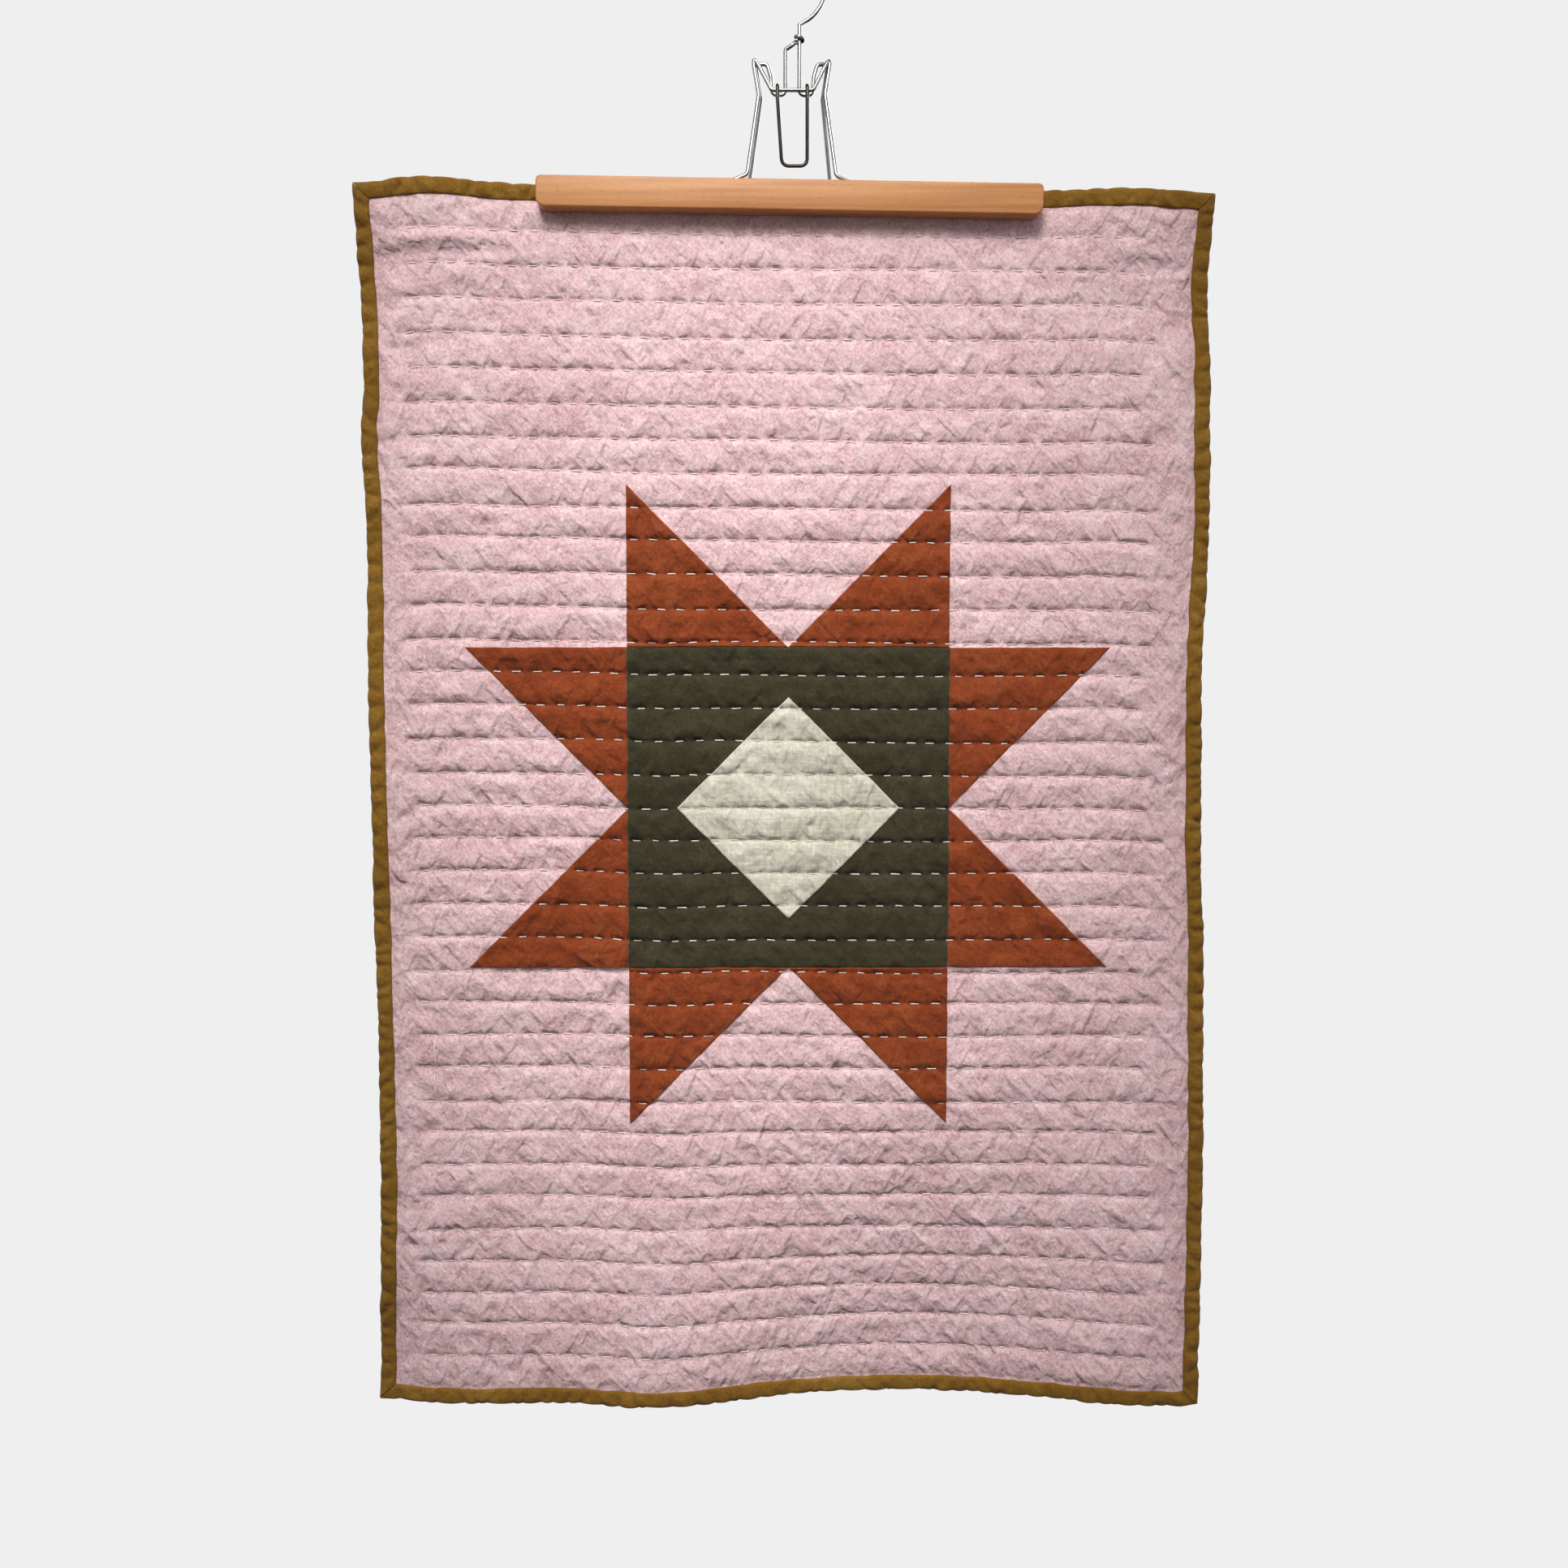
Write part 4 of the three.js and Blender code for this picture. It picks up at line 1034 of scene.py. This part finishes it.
def hookFrameLines():
    f = frames
    turned = np.radians(np.linspace(hook["tipAngle"], hook["neckAngle"], hook["steps"] + 1))
    hooked = np.column_stack([hook["radius"] * np.cos(turned), 0 * turned,
                              wire["radius"] - hook["radius"] + hook["radius"] * np.sin(turned)])
    down = bend([(f["stemX"], 0, f["neckZ"], 2.6),
                 *rearSide(f["stemX"], 1, f["rightEarX"], feet["rearRight"])])
    other = bend([(f["uprightX"], 0, f["uprightTopZ"] - 2, 0),
                  *rearSide(f["uprightX"], -1, f["leftEarX"], feet["rearLeft"])])
    # The collar: the left upright's end, wound once round the stem
    t = np.linspace(0, 1, 27)
    turned = np.pi + 2 * np.pi * f["collarTurns"] * t
    wound = wire["radius"] * 2 - wire["grip"]
    coil = np.column_stack([f["stemX"] + wound * np.cos(turned), wound * np.sin(turned),
                            f["collarZ"] + f["collarTall"] * (0.5 - t)])
    run = bend([(*coil[-1], 0), (f["uprightX"] + 3.2, -0.6, f["uprightTopZ"] + 1.9, 1.5),
                (f["uprightX"], 0, f["uprightTopZ"], 1.5), (*other[0], 0)])
    return [np.concatenate([hooked, down]), np.concatenate([coil, run[1:-1], other])]


def frontFrameLine():
    f = frames

    def side(out, earX, foot, rodX):
        return [
            (*foot[1], 0), (*foot[0], 3),
            (earX - out * f["frontWaistIn"], -f["earY"] - f["waistOut"], f["waistZ"], 6),
            (earX, -f["earY"], f["frontEarZ"], 1.3),
            (rodX, f["rodY"], f["rodZ"], 2),
        ]
    return bend(side(-1, f["leftEarX"], feet["frontLeft"], f["rodLeftX"])
                + side(1, f["rightEarX"], feet["frontRight"], f["rodRightX"])[::-1])


loop = {
    "leftX": -3.5, "rightX": 11.2, "narrower": 2.2, "endZ": -109.6,
    "tailDown": 1.8, "bowsAt": 5, "bowsOut": 0.2,  # below the rod
}


# An eye over the rod on each side, joined at the loop's lower end
def lockLoopLine():
    over = wire["radius"] + wire["loopRadius"] + wire["clearance"]
    rodY, rodZ = frames["rodY"], frames["rodZ"]

    def side(x, endX):
        turned = np.linspace(0, np.pi, 13)
        eye = [(x, rodY + over * math.cos(a), rodZ + over * math.sin(a), 0) for a in turned]
        return [(x, rodY + over, rodZ - loop["tailDown"], 0), *eye,
                (x, rodY - over - loop["bowsOut"], rodZ - loop["bowsAt"], 4),
                (endX, rodY - over, loop["endZ"], 4)]
    return bend(side(loop["leftX"], loop["leftX"] + loop["narrower"])
                + side(loop["rightX"], loop["rightX"])[::-1])


wirePiece("wire_hook_frame", hookFrameLines(), wire["radius"], "hook_frame", steel)
wirePiece("wire_front_frame", [frontFrameLine()], wire["radius"], "front_frame", steel)
wirePiece("wire_lock_loop", [lockLoopLine()], wire["loopRadius"], "lock_loop", loopSteelPaintedDark)
print("wires bent")


# The camera, the light and the floor

# Puts the camera or a lamp at its place, looking ahead
def setUp(name, data, place, ahead):
    item = newObject(name, data)
    item.location = place
    item.rotation_euler = Vector(ahead).to_track_quat("-Z", "Y").to_euler()
    return item


view = {
    "place": (-10.1, -803.4, -363.65), "yaw": 0.0123, "pitch": -0.0659, "lens": 36.09,
}
level = math.cos(view["pitch"])
camera = setUp("camera", bpy.data.cameras.new("camera"), Vector(view["place"]) * mm, (
    math.sin(view["yaw"]) * level, math.cos(view["yaw"]) * level, math.sin(view["pitch"])))
camera.data.sensor_width = 36
camera.data.lens = view["lens"]
camera.data.clip_start = 0.01
bpy.context.scene.camera = camera

# The soft spots make the pools of light at the top and low in the middle, while the sides fall off
lamps = (  # name, place, aims at, watts, size or softness, and a spot's angle
    ("key", (-0.15, -1.0, 0.75), (0, 0, -0.42), 4.0, 0.6, None),
    ("fill", (0.9, -1.2, 0.1), (0, 0, -0.40), 1.5, 1.2, None),
    ("behind", (0.4, 1.2, 0.5), (0, 0, -0.40), 23.0, 1.0, None),
    ("left_side", (-1.5, 0.1, 0.2), (0, 0, -0.40), 4.0, 1.0, None),
    ("right_side", (1.5, 0.1, 0.2), (0, 0, -0.40), 4.0, 1.0, None),
    ("high_spot", (-0.15, -1.0, 0.6), (-0.02, 0, -0.14), 64.0, 0.28, 36),
    ("low_spot", (-0.14, -1.0, 0.6), (-0.02, 0, -0.64), 112.0, 0.25, 19),
)
for name, place, target, watts, size, angle in lamps:
    lamp = bpy.data.lights.new(name, "SPOT" if angle else "AREA")
    lamp.energy = watts
    if angle:
        lamp.shadow_soft_size, lamp.spot_size, lamp.spot_blend = size, math.radians(angle), 1.0
    else:
        lamp.size = size
    setUp(name, lamp, place, Vector(target) - Vector(place))

# The room is brighter above than below, and in front than behind, which draws the wires' edges dark
world = bpy.data.worlds.new("studio")
bpy.context.scene.world = world
world.use_nodes = True
tree = world.node_tree
heading = add(tree, "ShaderNodeSeparateXYZ", {0: add(tree, "ShaderNodeTexCoord", {}, "Generated")}).node
above = add(tree, "ShaderNodeMapRange", {
    "Value": heading.outputs["Z"], "From Min": -0.7, "From Max": 0.8, "To Min": 0.05, "To Max": 0.6})
inFront = add(tree, "ShaderNodeMapRange", {
    "Value": heading.outputs["Y"], "From Min": 0.3, "From Max": -0.7, "To Min": 0.04, "To Max": 1.0})
brightness = add(tree, "ShaderNodeMath", {0: above, 1: inFront}, operation="MULTIPLY")
feed(tree.nodes["Background"], {"Strength": brightness, "Color": hexColour("f6f6f8")})

# A plain pale floor that turns up into a plain pale wall all round
room = {
    "radius": 5.0, "floorZ": -1.6,
    "wall": ((0.12, 1.08), (0.35, 1.06), (0.8, 1.04), (4.5, 1.02)),  # each step's height and widening
}
bpy.ops.object.select_all(action="DESELECT")
bpy.ops.mesh.primitive_circle_add(
    vertices=96, radius=room["radius"], location=(0, 0, room["floorZ"]), fill_type="NGON")
floor = bpy.context.active_object
floor.name = "studio_floor"
bpy.ops.object.mode_set(mode="EDIT")
bpy.ops.mesh.select_mode(type="EDGE")
bpy.ops.mesh.select_all(action="SELECT")
bpy.ops.mesh.region_to_loop()
for lift, widen in room["wall"]:
    bpy.ops.mesh.extrude_edges_move(TRANSFORM_OT_translate={"value": (0, 0, lift)})
    bpy.ops.transform.resize(value=(widen, widen, 1))
bpy.ops.object.mode_set(mode="OBJECT")
onlySelect(floor)
bpy.ops.object.transform_apply(location=True, rotation=True, scale=True)
paper, _, shader, _ = newMaterial("pale_backdrop_paper")
feed(shader, {
    "Base Color": (0, 0, 0, 1), "Specular IOR Level": 0, "Emission Color": hexColour("efefef"),
    "Emission Strength": 1.0})
floor.data.materials.append(paper)
floor.visible_diffuse = floor.visible_glossy = floor.visible_shadow = False
bpy.context.scene.view_settings.view_transform = "Standard"
print("stage set")
